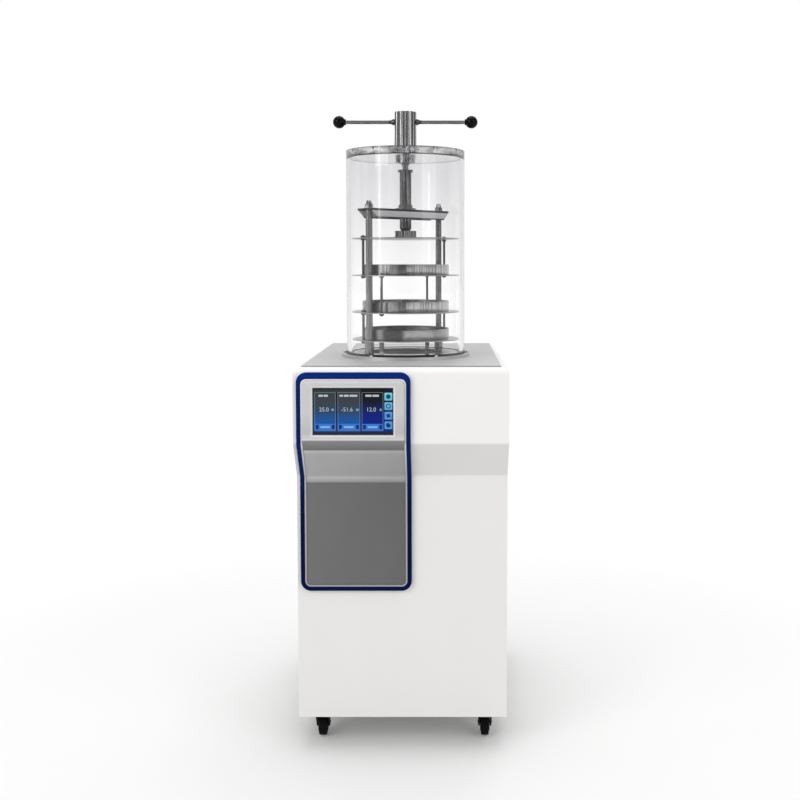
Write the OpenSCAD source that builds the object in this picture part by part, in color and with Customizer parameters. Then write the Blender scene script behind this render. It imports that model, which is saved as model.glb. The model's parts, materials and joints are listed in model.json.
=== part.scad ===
// Floor-standing laboratory freeze dryer with a clear bell jar and a screw press for closing vials.
// Millimetres. +Z is up, -Y is the front. The origin lies on the floor, at the middle of the footprint.

/* [Cabinet] */
// Width of the cabinet
body_w = 400; // [380:5:460]
// Depth of the cabinet from the console's face to the back
body_d = 590; // [560:5:640]
// Height of the cabinet's lower edge above the floor
skirt_z = 62; // [56:1:68]
// Height of the deck's upper face above the floor
deck_z = 744; // [720:2:800]
// Thickness of the painted sheet
wall = 1.5; // [1:0.1:2]
// Radius of the shoulder between the deck and the sides
shoulder_r = 14; // [10:1:16]
// Distance that the console stands out from the lower front
console_proud = 50; // [35:1:60]
// Height of the console's lower bend
console_z = 601; // [590:1:610]
// Height of the bend where the slope meets the lower front
slope_z = 532; // [515:1:545]
// Bend radius of the sheet at the console
bend_r = 5; // [3:1:8]
// Thickness of the stainless deck
deck_t = 1.5; // [1:0.1:2]

/* [Control panel] */
// Width of the panel over its coloured trim
panel_w = 211; // [200:1:220]
// Height of the panel over its coloured trim
panel_h = 423; // [400:1:440]
// Corner radius of the trim
panel_r = 19; // [15:1:24]
// Gap between the panel and the cabinet's left edge
panel_inset = 7; // [5:1:12]
// Gap between the panel's top and the deck
panel_drop = 10; // [8:1:14]
// Width of the coloured trim at the sides and the bottom
trim_w = 8; // [5:0.5:9]
// Width of the coloured trim's top band
trim_top = 12; // [8:0.5:14]
// Width of the bright bead inside the trim
bead_w = 3.5; // [1.5:0.5:4]
// Distance that the trim stands out from the sheet
trim_proud = 8; // [6:0.5:10]
// Thickness of the lower panel
lower_proud = 5; // [3:0.5:6]
// Distance that the display panel stands out from the sheet
display_proud = 16; // [13:0.5:20]
// Width of the display window
window_w = 148; // [130:1:156]
// Height of the display window
window_h = 87; // [80:1:92]
// Height of the display window's middle above the floor
window_z = 663; // [660:1:668]

/* [Bell jar] */
// Distance of the jar's axis behind the console's face
jar_back = 250; // [240:5:300]
// Outer diameter of the jar
jar_d = 242; // [238:1:250]
// Wall of the jar
jar_wall = 8; // [6:0.5:8]
// Height of the jar's tube
jar_h = 392; // [390:1:420]
// Thickness of the jar's lid
lid_t = 16; // [10:1:20]
// Thickness of the rubber ring under the jar
gasket_t = 4; // [3:0.5:5]
// Height of the steel ring above the deck
ring_h = 6; // [4:0.5:8]

/* [Cold trap] */
// Distance from the jar's bore to the trap's bore
trap_inset = 13; // [12:1:20]
// Depth of the cold trap
trap_depth = 260; // [220:5:280]
// Wall of the cold trap
trap_wall = 2; // [1.5:0.5:3]

/* [Shelf rack] */
// Gap between a shelf's rim and the jar's bore
shelf_gap = 3; // [3:0.5:6]
// Thickness of a shelf
shelf_t = 2; // [1.5:0.5:3]
// Distance from the base ring to the lowest shelf
leg_h = 25; // [22:1:30]
// Pitch between the two lowest shelves
low_pitch = 56; // [50:1:60]
// Pitch of the other shelves
pitch = 74.5; // [66:0.5:76]
// Diameter of a guide post
post_d = 13; // [11:0.5:13]
// Distance from a shelf's rim to a guide post's axis
post_inset = 13; // [12:0.5:15]
// Diameter of a hanger rod
rod_d = 5; // [4:0.5:5]
// Distance from a shelf's rim to a hanger rod's axis
rod_inset = 9.3; // [8:0.1:10]
// Gap between a sample tray and a guide post
tray_gap = 1.5; // [1:0.5:6]
// Height of a sample tray
tray_h = 21; // [15:1:30]
// Wall of a sample tray
tray_t = 1; // [0.8:0.1:1.5]
// Distance from the top shelf to the yoke's upper face
yoke_rise = 58; // [55:1:62]
// Width of the yoke
yoke_w = 43; // [38:1:43]
// Depth of the yoke's flanges
yoke_h = 19; // [14:1:22]

/* [Press] */
// Outer diameter of the press spindle
spindle_d = 24; // [20:0.5:26]
// Diameter of the fluted hub
hub_d = 45; // [40:1:50]
// Height of the fluted hub
hub_h = 76; // [60:1:90]
// Number of flutes on the hub
hub_flutes = 14; // [10:1:18]
// Distance of a ball knob from the hub's axis
knob_reach = 135; // [110:1:150]
// Diameter of a ball knob
knob_d = 25.4; // [20:0.2:32]
// Diameter of the handle bar
bar_d = 8; // [6:0.5:10]

/* [Casters] */
// Diameter of a caster wheel
wheel_d = 50; // [44:1:50]
// Width of a caster wheel
wheel_w = 18; // [14:1:20]
// Distance of a wheel's axle behind its swivel
trail = 18; // [14:1:22]
// Distance from a caster's swivel to the side of the cabinet
caster_inset = 40; // [35:1:60]
// Distance from a front caster's swivel to the lower front
caster_front_inset = 48; // [30:1:70]
// Distance from a rear caster's swivel to the rear panel
caster_back_inset = 62; // [50:1:80]

/* [Hidden] */
$fn = 48;
eps = 0.01;
// Running clearance of a shaft in its bore
run = 0.05;
// Clearance of a guided or inserted piece
slip = 0.4;
// Gap left between a moving piece and its neighbour
gap = 0.3;

// Cabinet
port_proud = 38;
total_d = display_proud + body_d + port_proud;
face_y = -total_d / 2 + display_proud;   // the console's front face
lower_y = face_y + console_proud;        // the lower front
back_y = face_y + body_d;                // the rear panel's outer face
jar_y = face_y + jar_back;
shell_top = deck_z - deck_t;
bend_shift = tan(atan2(console_proud, console_z - slope_z) / 2);
seam_y = lower_y + 22;                   // where the front cover meets the side panels
ledge = 14;                              // width of the ledge that carries the deck
pan_z = skirt_z + 8;                     // the base pan's lower face
pan_rim = 30;

// Control panel
panel_x = -body_w / 2 + panel_inset + panel_w / 2;
panel_top = deck_z - panel_drop;
panel_mid = panel_top - panel_h / 2;
liner = trim_w + bead_w;                 // from the trim's outer edge to the grey panels
top_extra = trim_top - trim_w;
undercut_top = console_z + 8;            // where the display panel's underside begins
undercut_z = console_z - 13;             // where it meets the lower panel
screen_lip = 5;                          // hidden margin of the screen behind its window
screen_t = 7;

// Bell jar
jar_r = jar_d / 2;
jar_bore = jar_r - jar_wall;
trap_r = jar_bore - trap_inset;
ring_z = deck_z + ring_h;
jar_z = ring_z + gasket_t;
lid_z = jar_z + jar_h;
lid_top = lid_z + lid_t;
ring_rim = 11;                           // width of the steel ring outside the jar
ring_r = jar_r + ring_rim;
gasket_rim = 2;
gasket_r = jar_r + gasket_rim;
lip_w = 18;                              // width of the trap's turned-out lip
lip_r = trap_r + lip_w;
lip_t = 1.5;
screw_head_r = 3.6;
screw_head_h = 3;
screw_ring = ring_r - screw_head_r - 1;
screw_count = 6;

// Shelf rack
base_t = 3;
base_top = ring_z + base_t;
base_w = 32;                             // width of the base ring
shelf_r = jar_bore - shelf_gap;
post_ring = shelf_r - post_inset;
rod_ring = shelf_r - rod_inset;
tray_r = post_ring - post_d / 2 - tray_gap;
shelf_z = [for (i = [0:3]) base_top + leg_h + (i > 0 ? low_pitch : 0) + max(i - 1, 0) * pitch];
post_a = 225;                            // direction of the front post from the jar's axis
rod_a = 216.6;                           // direction of the outer hanger rods
rod_b = 244.5;                           // direction of the inner hanger rods
foot_d = post_d + 5;
stud_d = 8;
nut_af = 8;
nut_h = 3.5;
nut_over = 1.5;                          // thread left past a hanger rod's nut
leg_d = 9;
base_r = rod_ring + leg_d / 2 + 0.8;
yoke_top = shelf_z[3] + shelf_t + yoke_rise;
yoke_t = 3;
yoke_over = 10;                          // from a guide post's axis to the yoke's end
yoke_l = 2 * (post_ring + yoke_over);
acorn_h = 16;
acorn_af = 14;

// Press
foot_h = 15;
foot_r = 22;
journal_r = 7.5;
journal_h = 8;
spindle_cone = 5;
spindle_z = shelf_z[3] + shelf_t + foot_h;
collar_h = 5;
collar_gap = 9.7;                        // from the collar up to the drive rod's stop ring
hex_af = 10.8;
rod_r = hex_af / sqrt(3);
engage = 52;                             // length of the drive rod inside the spindle
key_w = 3;
key_l = 40;
nut_flange_r = 21;
nut_cone = 10;
sleeve_r = spindle_d / 2 + 2.5;          // the spindle nut's sleeve through the yoke
gland_r = 20;                            // the gland's body through the lid
gland_flange = 3;
gland_ribs = 18;                         // ribs round the gland's body
rib_r = 1.8;
packing_r = 12.5;                        // nut that closes the gland from below
packing_h = 8;
packing_rim = 2;
packing_tip = 2;
spigot_r = 9;
spigot_h = 6;
stop_h = 4;                              // retaining ring on the drive rod
hub_z = lid_top + gland_flange + gap;
bar_z = hub_z + hub_h - 20;
stop_z = lid_z - packing_h - gap - stop_h;
spindle_top = stop_z - collar_gap;
rod_low = spindle_top - engage;
socket_z = rod_low - 10;
flute_r = 3;

// Casters
caster_h = pan_z;
plate_t = 3;
axle_r = 3;
kingpin_r = 4;
crown_z = caster_h - plate_t - 8;        // the swivel head's lower face
fork_gap = wheel_w / 2 + 1;
fork_t = 3;
caster_x = body_w / 2 - caster_inset;
caster_front = lower_y + caster_front_inset;
caster_back = back_y - caster_back_inset;
caster_spots = [[-caster_x, caster_front], [caster_x, caster_front],
    [-caster_x, caster_back], [caster_x, caster_back]];

// Refrigeration and rear fittings
trap_floor = deck_z - trap_depth;
coil_turns = 9;
coil_r = 5;
coil_pitch = 14;
pot_r = 85;
pot_h = 190;
fin_count = 22;
block = [300, 56, 250];
block_y = back_y - wall - 20 - block[1];
fan_r = 90;
fan_z = pan_z + 16 + block[2] / 2;
fan_y = block_y - 34;
fan_hub_r = 26;
motor_r = 32;
motor_l = 60;
motor_shaft_r = 4;
port_x = 62;
port_z = deck_z - 84;
port_r = 12.5;
port_wall = 1.6;
port_flange_r = 20;
drain_z = trap_floor - 14;
drain_r = 5;
sump_r = 14;
valve_l = 20;
barb_r = 6;
stem_h = 17;
lever_t = 4;
lever_l = 22;
lever_pin = 2;
inlet_x = 118;
inlet_z = 420;
switch_z = inlet_z + 38;
switch_w = 23;
switch_h = 31;
switch_tilt = 7;
rocker_r = 13;
rocker_pin = 1.5;
louvre_rows = 11;
louvre_l = 90;
louvre_w = 5;
louvre_pitch = 15;

// ---- Shared forms ----

// A point on a circle round the origin, at angle a
function polar(r, a) = [r * cos(a), r * sin(a)];

// One corner at b between a and c, rounded with radius r in n steps
function rounded(a, b, c, r, n = 5) =
    let (
        u = (a - b) / norm(a - b),
        v = (c - b) / norm(c - b),
        half = acos(u * v) / 2,
        reach = r / tan(half),
        centre = b + (u + v) / norm(u + v) * r / sin(half),
        p = b + u * reach - centre,
        q = b + v * reach - centre,
        from = atan2(p[1], p[0]),
        turn = (atan2(q[1], q[0]) - from + 540) % 360 - 180
    )
    [for (i = [0:n]) centre + polar(r, from + turn * i / n)];

// The front's outline in the Y-Z plane, from z high to z low, at distance d in front of the sheet
function front_line(d, high, low, r) =
    let (
        a = [face_y - d, high],
        b = [face_y - d, console_z - d * bend_shift],
        c = [lower_y - d, slope_z - d * bend_shift],
        e = [lower_y - d, low]
    )
    concat([a], rounded(a, b, c, r + d), rounded(b, c, e, r + 6 - d), [e]);

function reversed(list) = [for (i = [len(list) - 1:-1:0]) list[i]];

// Lays a Y-Z outline across the width, from x to x + w
module across(x, w) {
    translate([x, 0, 0]) rotate([90, 0, 90]) linear_extrude(w) children();
}

// Lays an X-Z outline along the depth, from y to y + d
module along(y, d) {
    translate([0, y + d, 0]) rotate([90, 0, 0]) linear_extrude(d) children();
}

module round_rect(w, h, r) {
    square([w - 2 * r, h], center = true);
    square([w, h - 2 * r], center = true);
    for (x = [-1, 1], y = [-1, 1]) translate([x * (w / 2 - r), y * (h / 2 - r)]) circle(r);
}

module ring(outer, inner, h) {
    difference() {
        cylinder(r = outer, h = h);
        translate([0, 0, -eps]) cylinder(r = inner, h = h + 2 * eps);
    }
}

module on_jar_axis(z = 0) {
    translate([0, jar_y, z]) children();
}

// Copies at the two opposite ends of a line through the jar's axis, in direction a
module both_ends(r, a) {
    for (turn = [a, a + 180]) translate(concat(polar(r, turn), 0)) children();
}

module hex(af, h) {
    cylinder(r = af / sqrt(3), h = h, $fn = 6);
}

// ---- Cabinet shell ----

// The cabinet's outer form, taken in by t all round and open below
module cabinet_form(t) {
    r = shoulder_r - t;
    low = skirt_z - (t > 0 ? 1 : 0);
    top = shell_top - t;
    front = front_line(-t, top - r, low, bend_r);
    intersection() {
        along(face_y - 1, body_d + 2) {
            translate([-body_w / 2 + t, low]) square([body_w - 2 * t, top - r - low]);
            translate([-body_w / 2 + shoulder_r, low]) square([body_w - 2 * shoulder_r, top - low]);
            for (s = [-1, 1]) translate([s * (body_w / 2 - shoulder_r), top - r]) circle(r);
        }
        across(-body_w / 2 - 1, body_w + 2) {
            polygon(concat(front, [[back_y + (t > 0 ? 1 : 0), low], [back_y + (t > 0 ? 1 : 0), top],
                [face_y + shoulder_r, top], [face_y + shoulder_r, top - r]]));
            translate([face_y + shoulder_r, top - r]) circle(r);
        }
    }
}

// The painted skin, with the opening that the deck covers
module cabinet_skin() {
    difference() {
        cabinet_form(0);
        cabinet_form(wall);
        translate([-body_w / 2 + shoulder_r + ledge, face_y + shoulder_r + ledge, shell_top - 20])
            cube([body_w - 2 * (shoulder_r + ledge), body_d, 40]);
    }
}

module front_cover() {
    color("white") difference() {
        intersection() {
            cabinet_skin();
            translate([-body_w / 2 - 1, face_y - 1, 0]) cube([body_w + 2, seam_y - face_y + 1, deck_z]);
        }
        // opening behind the touch screen, which the control box looks through
        translate([panel_x - window_w / 2 + 10, face_y - 1, window_z - window_h / 2 + 10])
            cube([window_w - 20, wall + 2, window_h - 20]);
    }
}

// A rounded slot along Y, through a side panel
module louvre_slot() {
    rotate([0, 90, 0]) linear_extrude(4 * wall, center = true) {
        square([louvre_w, louvre_l - louvre_w], center = true);
        for (s = [-1, 1]) translate([0, s * (louvre_l - louvre_w) / 2]) circle(louvre_w / 2);
    }
}

module side_panel(side) {
    color("white") difference() {
        intersection() {
            cabinet_skin();
            translate([side > 0 ? 0 : -body_w, seam_y, 0])
                cube([body_w, back_y - wall - seam_y, deck_z]);
        }
        for (row = [0:louvre_rows - 1], column = [0, 1])
            translate([side * (body_w / 2 - wall / 2), back_y - 90 - column * (louvre_l + 20),
                pan_z + pan_rim + 30 + row * louvre_pitch]) louvre_slot();
    }
}

module rear_panel() {
    t = 2 * wall;
    color("white") difference() {
        intersection() {
            cabinet_form(0);
            translate([-body_w / 2 - 1, back_y - wall, 0]) cube([body_w + 2, wall, deck_z]);
        }
        // rings of slots in front of the condenser's fan
        for (i = [0:4]) along(back_y - t, 2 * t) translate([0, fan_z]) difference() {
            circle(22 + i * 15);
            circle(16 + i * 15);
            for (a = [0, 45, 90, 135]) rotate(a) square([300, 7], center = true);
        }
        translate([port_x, back_y, port_z]) rotate([90, 0, 0])
            cylinder(r = port_r + port_wall + slip, h = 2 * t, center = true);
        translate([0, back_y, drain_z]) rotate([90, 0, 0])
            cylinder(r = drain_r + 1 + slip, h = 2 * t, center = true);
        translate([inlet_x, back_y, inlet_z]) cube([28, 2 * t, 20], center = true);
        translate([inlet_x, back_y, switch_z])
            cube([switch_w + slip, 2 * t, switch_h + slip], center = true);
    }
}

module base_pan() {
    w = body_w - 2 * wall;
    d = back_y - lower_y - 2 * wall;
    color("gainsboro") translate([-w / 2, lower_y + wall, pan_z]) difference() {
        cube([w, d, pan_rim]);
        translate([wall, wall, wall]) cube([w - 2 * wall, d - 2 * wall, pan_rim]);
        // air slots under the compressor
        for (i = [-3:3]) translate([w / 2 + i * 24 - 4, d / 2 - 60, -1]) cube([8, 120, 2 * wall + 2]);
    }
}

module top_deck() {
    w = body_w - 2 * shoulder_r;
    d = body_d - shoulder_r;
    color("silver") difference() {
        translate([0, face_y + shoulder_r + d / 2, shell_top]) linear_extrude(deck_t) difference() {
            round_rect(w, d, 5);
        }
        on_jar_axis(shell_top - 1) cylinder(r = trap_r + trap_wall + slip, h = deck_t + 2);
    }
}

// ---- Control panel ----

// The part of the fascia between distances d0 and d1 in front of the sheet
module fascia_band(d0, d1, high, low) {
    across(panel_x - panel_w, 2 * panel_w)
        polygon(concat(front_line(d0, high, low, bend_r), reversed(front_line(d1, high, low, bend_r))));
}

// The panel's rounded outline, taken in by m and by drop more at the top, as a block through the fascia
module panel_block(m, drop) {
    along(face_y - 40, console_proud + 60) translate([panel_x, panel_mid - drop / 2])
        round_rect(panel_w - 2 * m, panel_h - 2 * m - drop, panel_r - m);
}

module panel_trim() {
    color("navy") intersection() {
        fascia_band(0, trim_proud, panel_top + 1, panel_top - panel_h - 1);
        difference() {
            panel_block(0, 0);
            panel_block(trim_w, top_extra);
        }
    }
}

module panel_bead() {
    color("whitesmoke") intersection() {
        fascia_band(0, trim_proud - 1, panel_top + 1, panel_top - panel_h - 1);
        difference() {
            panel_block(trim_w, top_extra);
            panel_block(liner, top_extra);
        }
    }
}

module lower_panel() {
    color("gray") intersection() {
        fascia_band(0, lower_proud, panel_top, panel_top - panel_h);
        panel_block(liner, top_extra);
        translate([-body_w, face_y - 50, 0]) cube([2 * body_w, 2 * console_proud + 50, undercut_z]);
    }
}

// Y of the front outline at distance d and height z, on the slope
function slope_y(d, z) =
    face_y - d + (console_z - d * bend_shift - z) * console_proud / (console_z - slope_z);

module display_panel() {
    bevel = 3;
    front = face_y - display_proud;
    depth = slope_y(0, undercut_z) - front + 1;
    edge = panel_top - top_extra - liner;
    color("lightgray") difference() {
        intersection() {
            panel_block(liner, top_extra);
            across(panel_x - panel_w, 2 * panel_w) polygon([
                [face_y, panel_top],
                [front + bevel, panel_top],
                [front + bevel, edge],
                [front, edge - bevel],
                [front, undercut_top],
                [slope_y(lower_proud, undercut_z), undercut_z],
                [slope_y(0, undercut_z), undercut_z],
                [face_y, console_z]
            ]);
        }
        // window, with a pocket behind it for the screen
        along(front - 1, depth) translate([panel_x, window_z])
            square([window_w, window_h], center = true);
        along(front + 2, depth) translate([panel_x, window_z])
            square([window_w + 2 * screen_lip, window_h + 2 * screen_lip], center = true);
        // wider mouth of the window
        along(front - 1, 2) translate([panel_x, window_z])
            square([window_w + 3, window_h + 3], center = true);
    }
}

module touch_screen() {
    w = window_w + 2 * screen_lip - slip;
    h = window_h + 2 * screen_lip - slip;
    color("black") along(face_y - display_proud + 2, screen_t) translate([panel_x, window_z])
        square([w, h], center = true);
}

// Electronics box behind the screen, held by its two side flanges
module control_box() {
    box = [window_w, 42, 120];
    sheet = 2;
    flange = 12;
    color("dimgray") translate([panel_x - box[0] / 2, face_y + wall, window_z - box[2] / 2])
        difference() {
            union() {
                cube(box);
                translate([-flange, 0, flange]) cube([box[0] + 2 * flange, sheet, box[2] - 2 * flange]);
            }
            translate([sheet, -1, sheet]) cube([box[0] - 2 * sheet, box[1] - 1, box[2] - 2 * sheet]);
        }
}

// ---- Cold trap and chamber base ----

module chamber_ring() {
    color("silver") on_jar_axis() difference() {
        translate([0, 0, deck_z]) cylinder(r = ring_r, h = ring_h);
        translate([0, 0, deck_z - 1]) cylinder(r = lip_r + slip, h = lip_t + 1);
        translate([0, 0, deck_z - 1]) cylinder(r = trap_r, h = ring_h + 2);
        for (i = [0:screw_count - 1])
            translate(concat(polar(screw_ring, i * 360 / screw_count), deck_z - 1))
                cylinder(r = 1.6, h = ring_h + 2, $fn = 24);
    }
}

module chamber_gasket() {
    color("black") on_jar_axis(ring_z) ring(gasket_r, base_r + 3, gasket_t);
}

module ring_screws() {
    color("silver") on_jar_axis(ring_z) for (i = [0:screw_count - 1])
        translate(concat(polar(screw_ring, i * 360 / screw_count), 0)) {
            rotate_extrude($fn = 24) intersection() {
                translate([0, screw_head_h - 1.5 * screw_head_r]) circle(1.5 * screw_head_r);
                square([screw_head_r, screw_head_h + 1]);
            }
            translate([0, 0, -ring_h]) cylinder(r = 1.5, h = ring_h + 1, $fn = 24);
        }
}

module cold_trap() {
    color("lightsteelblue") on_jar_axis() difference() {
        union() {
            translate([0, 0, trap_floor - trap_wall])
                cylinder(r = trap_r + trap_wall, h = trap_depth + trap_wall);
            translate([0, 0, deck_z]) cylinder(r = lip_r, h = lip_t);
            translate([0, 0, drain_z - drain_r - 3]) cylinder(r = sump_r, h = 22);
        }
        translate([0, 0, trap_floor]) cylinder(r = trap_r, h = trap_depth + lip_t + 1);
        translate([0, 0, drain_z - drain_r - 1]) cylinder(r = sump_r - 3, h = 40);
        translate([port_x, 0, port_z]) rotate([-90, 0, 0]) cylinder(r = port_r, h = trap_r + 20);
        translate([0, 0, drain_z]) rotate([-90, 0, 0]) cylinder(r = drain_r, h = 40);
    }
}

// Evaporator tube brazed round the trap, one ring for each turn
module trap_coil() {
    r = trap_r + trap_wall + coil_r;
    color("peru") on_jar_axis() {
        for (i = [0:coil_turns - 1])
            translate([0, 0, trap_floor + 12 + i * coil_pitch])
                rotate_extrude() translate([r, 0]) circle(coil_r, $fn = 24);
        // header that joins the turns
        translate([-r, 0, trap_floor + 12])
            cylinder(r = coil_r - 1, h = (coil_turns - 1) * coil_pitch, $fn = 24);
    }
}

// ---- Refrigeration ----

module compressor() {
    color("black") translate([-70, jar_y, pan_z + wall]) {
        for (x = [-1, 1], y = [-1, 1]) translate([x * 75, y * 60, 0]) cylinder(r = 10, h = 14);
        translate([-90, -75, 14]) cube([180, 150, 3]);
        translate([0, 0, 17]) rotate_extrude() {
            square([pot_r, pot_h - 40]);
            translate([0, pot_h - 40]) intersection() {
                scale([1, 0.47]) circle(pot_r, $fn = 64);
                square([pot_r + 1, 60]);
            }
            translate([0, pot_h / 2]) square([pot_r + 3, 5]);
        }
        translate([0, -pot_r - 8, 60]) cube([44, 20, 50], center = true);
        translate([0, 45, 150]) cylinder(r = 5, h = 60, $fn = 24);
    }
}

module condenser_block() {
    color("gray") translate([-block[0] / 2, block_y, pan_z + wall]) {
        // end plates that stand on the pan
        for (x = [0, block[0] - 2]) translate([x, 0, 0]) cube([2, block[1], block[2] + 26]);
        for (i = [1:fin_count - 1])
            translate([i * block[0] / fin_count - 0.6, 4, 20]) cube([1.2, block[1] - 8, block[2]]);
        // tubes through the fins
        for (row = [0:4], bank = [0, 1])
            translate([-6, 16 + bank * 24, 45 + row * 50]) rotate([0, 90, 0])
                cylinder(r = 4.5, h = block[0] + 12, $fn = 24);
    }
}

module fan_motor() {
    color("darkslategray") {
        translate([0, fan_y - 14 - gap, fan_z]) rotate([90, 0, 0]) cylinder(r = motor_r, h = motor_l);
        translate([0, fan_y + 6, fan_z]) rotate([90, 0, 0]) cylinder(r = motor_shaft_r, h = motor_l / 2);
        // foot bracket down to the pan
        translate([-motor_r + 2, fan_y - motor_l - 4, pan_z + wall]) cube([2 * motor_r - 4, 40, 3]);
        translate([-20, fan_y - motor_l + 14, pan_z + wall]) cube([40, 4, fan_z - pan_z - motor_r + 2]);
    }
}

module fan_blade() {
    translate([fan_hub_r - 3, 0, 0]) rotate([28, 0, 0]) translate([0, -20, -1])
        cube([fan_r - fan_hub_r - 4, 40, 2]);
}

module fan_rotor() {
    color("dimgray") translate([0, fan_y, fan_z]) rotate([90, 0, 0]) difference() {
        union() {
            translate([0, 0, -10]) cylinder(r = fan_hub_r, h = 20);
            for (i = [0:4]) rotate(i * 72) fan_blade();
        }
        translate([0, 0, -20]) cylinder(r = motor_shaft_r + run, h = 40);
    }
}

// ---- Rear fittings ----

// Vacuum line from the trap to a clamp flange on the back
module vacuum_port() {
    start = jar_y + sqrt(pow(trap_r + trap_wall, 2) - pow(port_x - port_r - port_wall, 2)) + gap;
    color("silver") translate([port_x, 0, port_z]) rotate([-90, 0, 0]) difference() {
        union() {
            translate([0, 0, start]) cylinder(r = port_r + port_wall, h = back_y + port_proud - start);
            translate([0, 0, back_y + port_proud - 3]) cylinder(r = port_flange_r, h = 3);
            translate([0, 0, back_y + port_proud - 7])
                cylinder(r1 = port_r + port_wall, r2 = port_flange_r, h = 4);
            translate([0, 0, back_y]) cylinder(r = port_flange_r + 6, h = 3);
        }
        translate([0, 0, start - 1]) cylinder(r = port_r, h = back_y + port_proud - start + 2);
    }
}

module drain_valve() {
    start = jar_y + sump_r;
    color("silver") translate([0, 0, drain_z]) difference() {
        union() {
            rotate([-90, 0, 0]) {
                translate([0, 0, start]) cylinder(r = drain_r + 1, h = back_y - start);
                translate([0, 0, back_y]) cylinder(r = 11, h = valve_l);
                translate([0, 0, back_y + valve_l]) cylinder(r = barb_r, h = 14);
                for (i = [0:2]) translate([0, 0, back_y + valve_l + 2 + i * 4])
                    cylinder(r1 = barb_r + 0.6, r2 = barb_r, h = 4);
            }
            translate([0, back_y + valve_l / 2, 0]) {
                cylinder(r = 7, h = stem_h);
                cylinder(r = lever_pin - run, h = stem_h + lever_t + 1, $fn = 24);
                translate([0, 0, stem_h + lever_t + 2 * gap]) cylinder(r = 3.5, h = 1.5, $fn = 24);
            }
        }
        rotate([-90, 0, 0]) translate([0, 0, start - 1]) cylinder(r = drain_r - 1, h = total_d);
    }
}

module drain_lever() {
    color("firebrick") translate([0, back_y + valve_l / 2, drain_z + stem_h + gap]) rotate(-90)
        difference() {
            union() {
                cylinder(r = 7, h = lever_t);
                translate([-5, 0, 0]) cube([10, lever_l, lever_t - 1]);
                translate([0, lever_l, 0]) cylinder(r = 5, h = lever_t - 1);
            }
            translate([0, 0, -1]) cylinder(r = lever_pin, h = lever_t + 2, $fn = 24);
        }
}

module inlet_socket() {
    color("black") translate([inlet_x, back_y, inlet_z]) {
        difference() {
            union() {
                translate([-16, 0, -12]) cube([32, 3, 24]);
                translate([-13.7, -24, -9.7]) cube([27.4, 25, 19.4]);
            }
            translate([-12.2, -16, -8]) cube([24.4, 30, 16]);
        }
        // contact blades
        for (x = [-7, 0, 7]) translate([x - 1, -17, x == 0 ? 1 : -3]) cube([2, 8, 4]);
    }
}

module switch_frame() {
    bezel = 2;
    mouth = 2 * rocker_r + 1;
    color("black") translate([inlet_x, back_y, switch_z]) difference() {
        union() {
            translate([-switch_w / 2 - bezel, 0, -switch_h / 2 - bezel])
                cube([switch_w + 2 * bezel, bezel, switch_h + 2 * bezel]);
            translate([-switch_w / 2, -18, -switch_h / 2]) cube([switch_w, 18 + bezel, switch_h]);
        }
        translate([-switch_w / 2 + 2, -16, -mouth / 2]) cube([switch_w - 4, 30, mouth]);
        translate([-switch_w / 2 - 1, 0, 0]) rotate([0, 90, 0])
            cylinder(r = rocker_pin + run, h = switch_w + 2, $fn = 24);
    }
}

module power_inlet() {
    inlet_socket();
    switch_frame();
}

module power_switch() {
    w = switch_w - 4 - 2 * gap;
    color("black") translate([inlet_x, back_y, switch_z]) rotate([-switch_tilt, 0, 0]) {
        difference() {
            intersection() {
                translate([-w / 2, -9, -rocker_r]) cube([w, 15, 2 * rocker_r]);
                translate([-w / 2, 0, 0]) rotate([0, 90, 0]) cylinder(r = rocker_r, h = w);
            }
            // shallow dish across the face
            translate([-w, 6 + 28, 0]) rotate([0, 90, 0]) cylinder(r = 30, h = 2 * w, $fn = 96);
        }
        translate([-switch_w / 2 + gap, 0, 0]) rotate([0, 90, 0])
            cylinder(r = rocker_pin, h = switch_w - 2 * gap, $fn = 24);
    }
}

// ---- Shelf rack ----

module rack_base() {
    color("silver") on_jar_axis() {
        difference() {
            translate([0, 0, ring_z]) ring(base_r, base_r - base_w, base_t);
            both_ends(post_ring, post_a) translate([0, 0, ring_z - 1])
                cylinder(r = stud_d / 2 + run, h = base_t + 2);
        }
        both_ends(rod_ring, rod_b) translate([0, 0, base_top]) cylinder(r = leg_d / 2, h = leg_h);
    }
}

module guide_posts() {
    shaft_top = yoke_top - yoke_t;
    color("gray") on_jar_axis() both_ends(post_ring, post_a) {
        translate([0, 0, ring_z]) cylinder(r = stud_d / 2, h = base_t + 1);
        translate([0, 0, base_top]) cylinder(r = foot_d / 2, h = leg_h);
        translate([0, 0, base_top]) cylinder(r = post_d / 2, h = shaft_top - base_top);
        translate([0, 0, shaft_top]) cylinder(r = stud_d / 2, h = yoke_t + acorn_h - 7);
    }
}

module post_nuts() {
    color("silver") on_jar_axis(yoke_top) both_ends(post_ring, post_a) difference() {
        union() {
            cylinder(r = acorn_af / 2 + 2, h = 1.5);
            hex(acorn_af, 8);
            translate([0, 0, 8]) cylinder(r1 = acorn_af / 2 - 0.6, r2 = 4, h = acorn_h - 8);
        }
        translate([0, 0, -1]) cylinder(r = stud_d / 2 + run, h = acorn_h - 4);
    }
}

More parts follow.
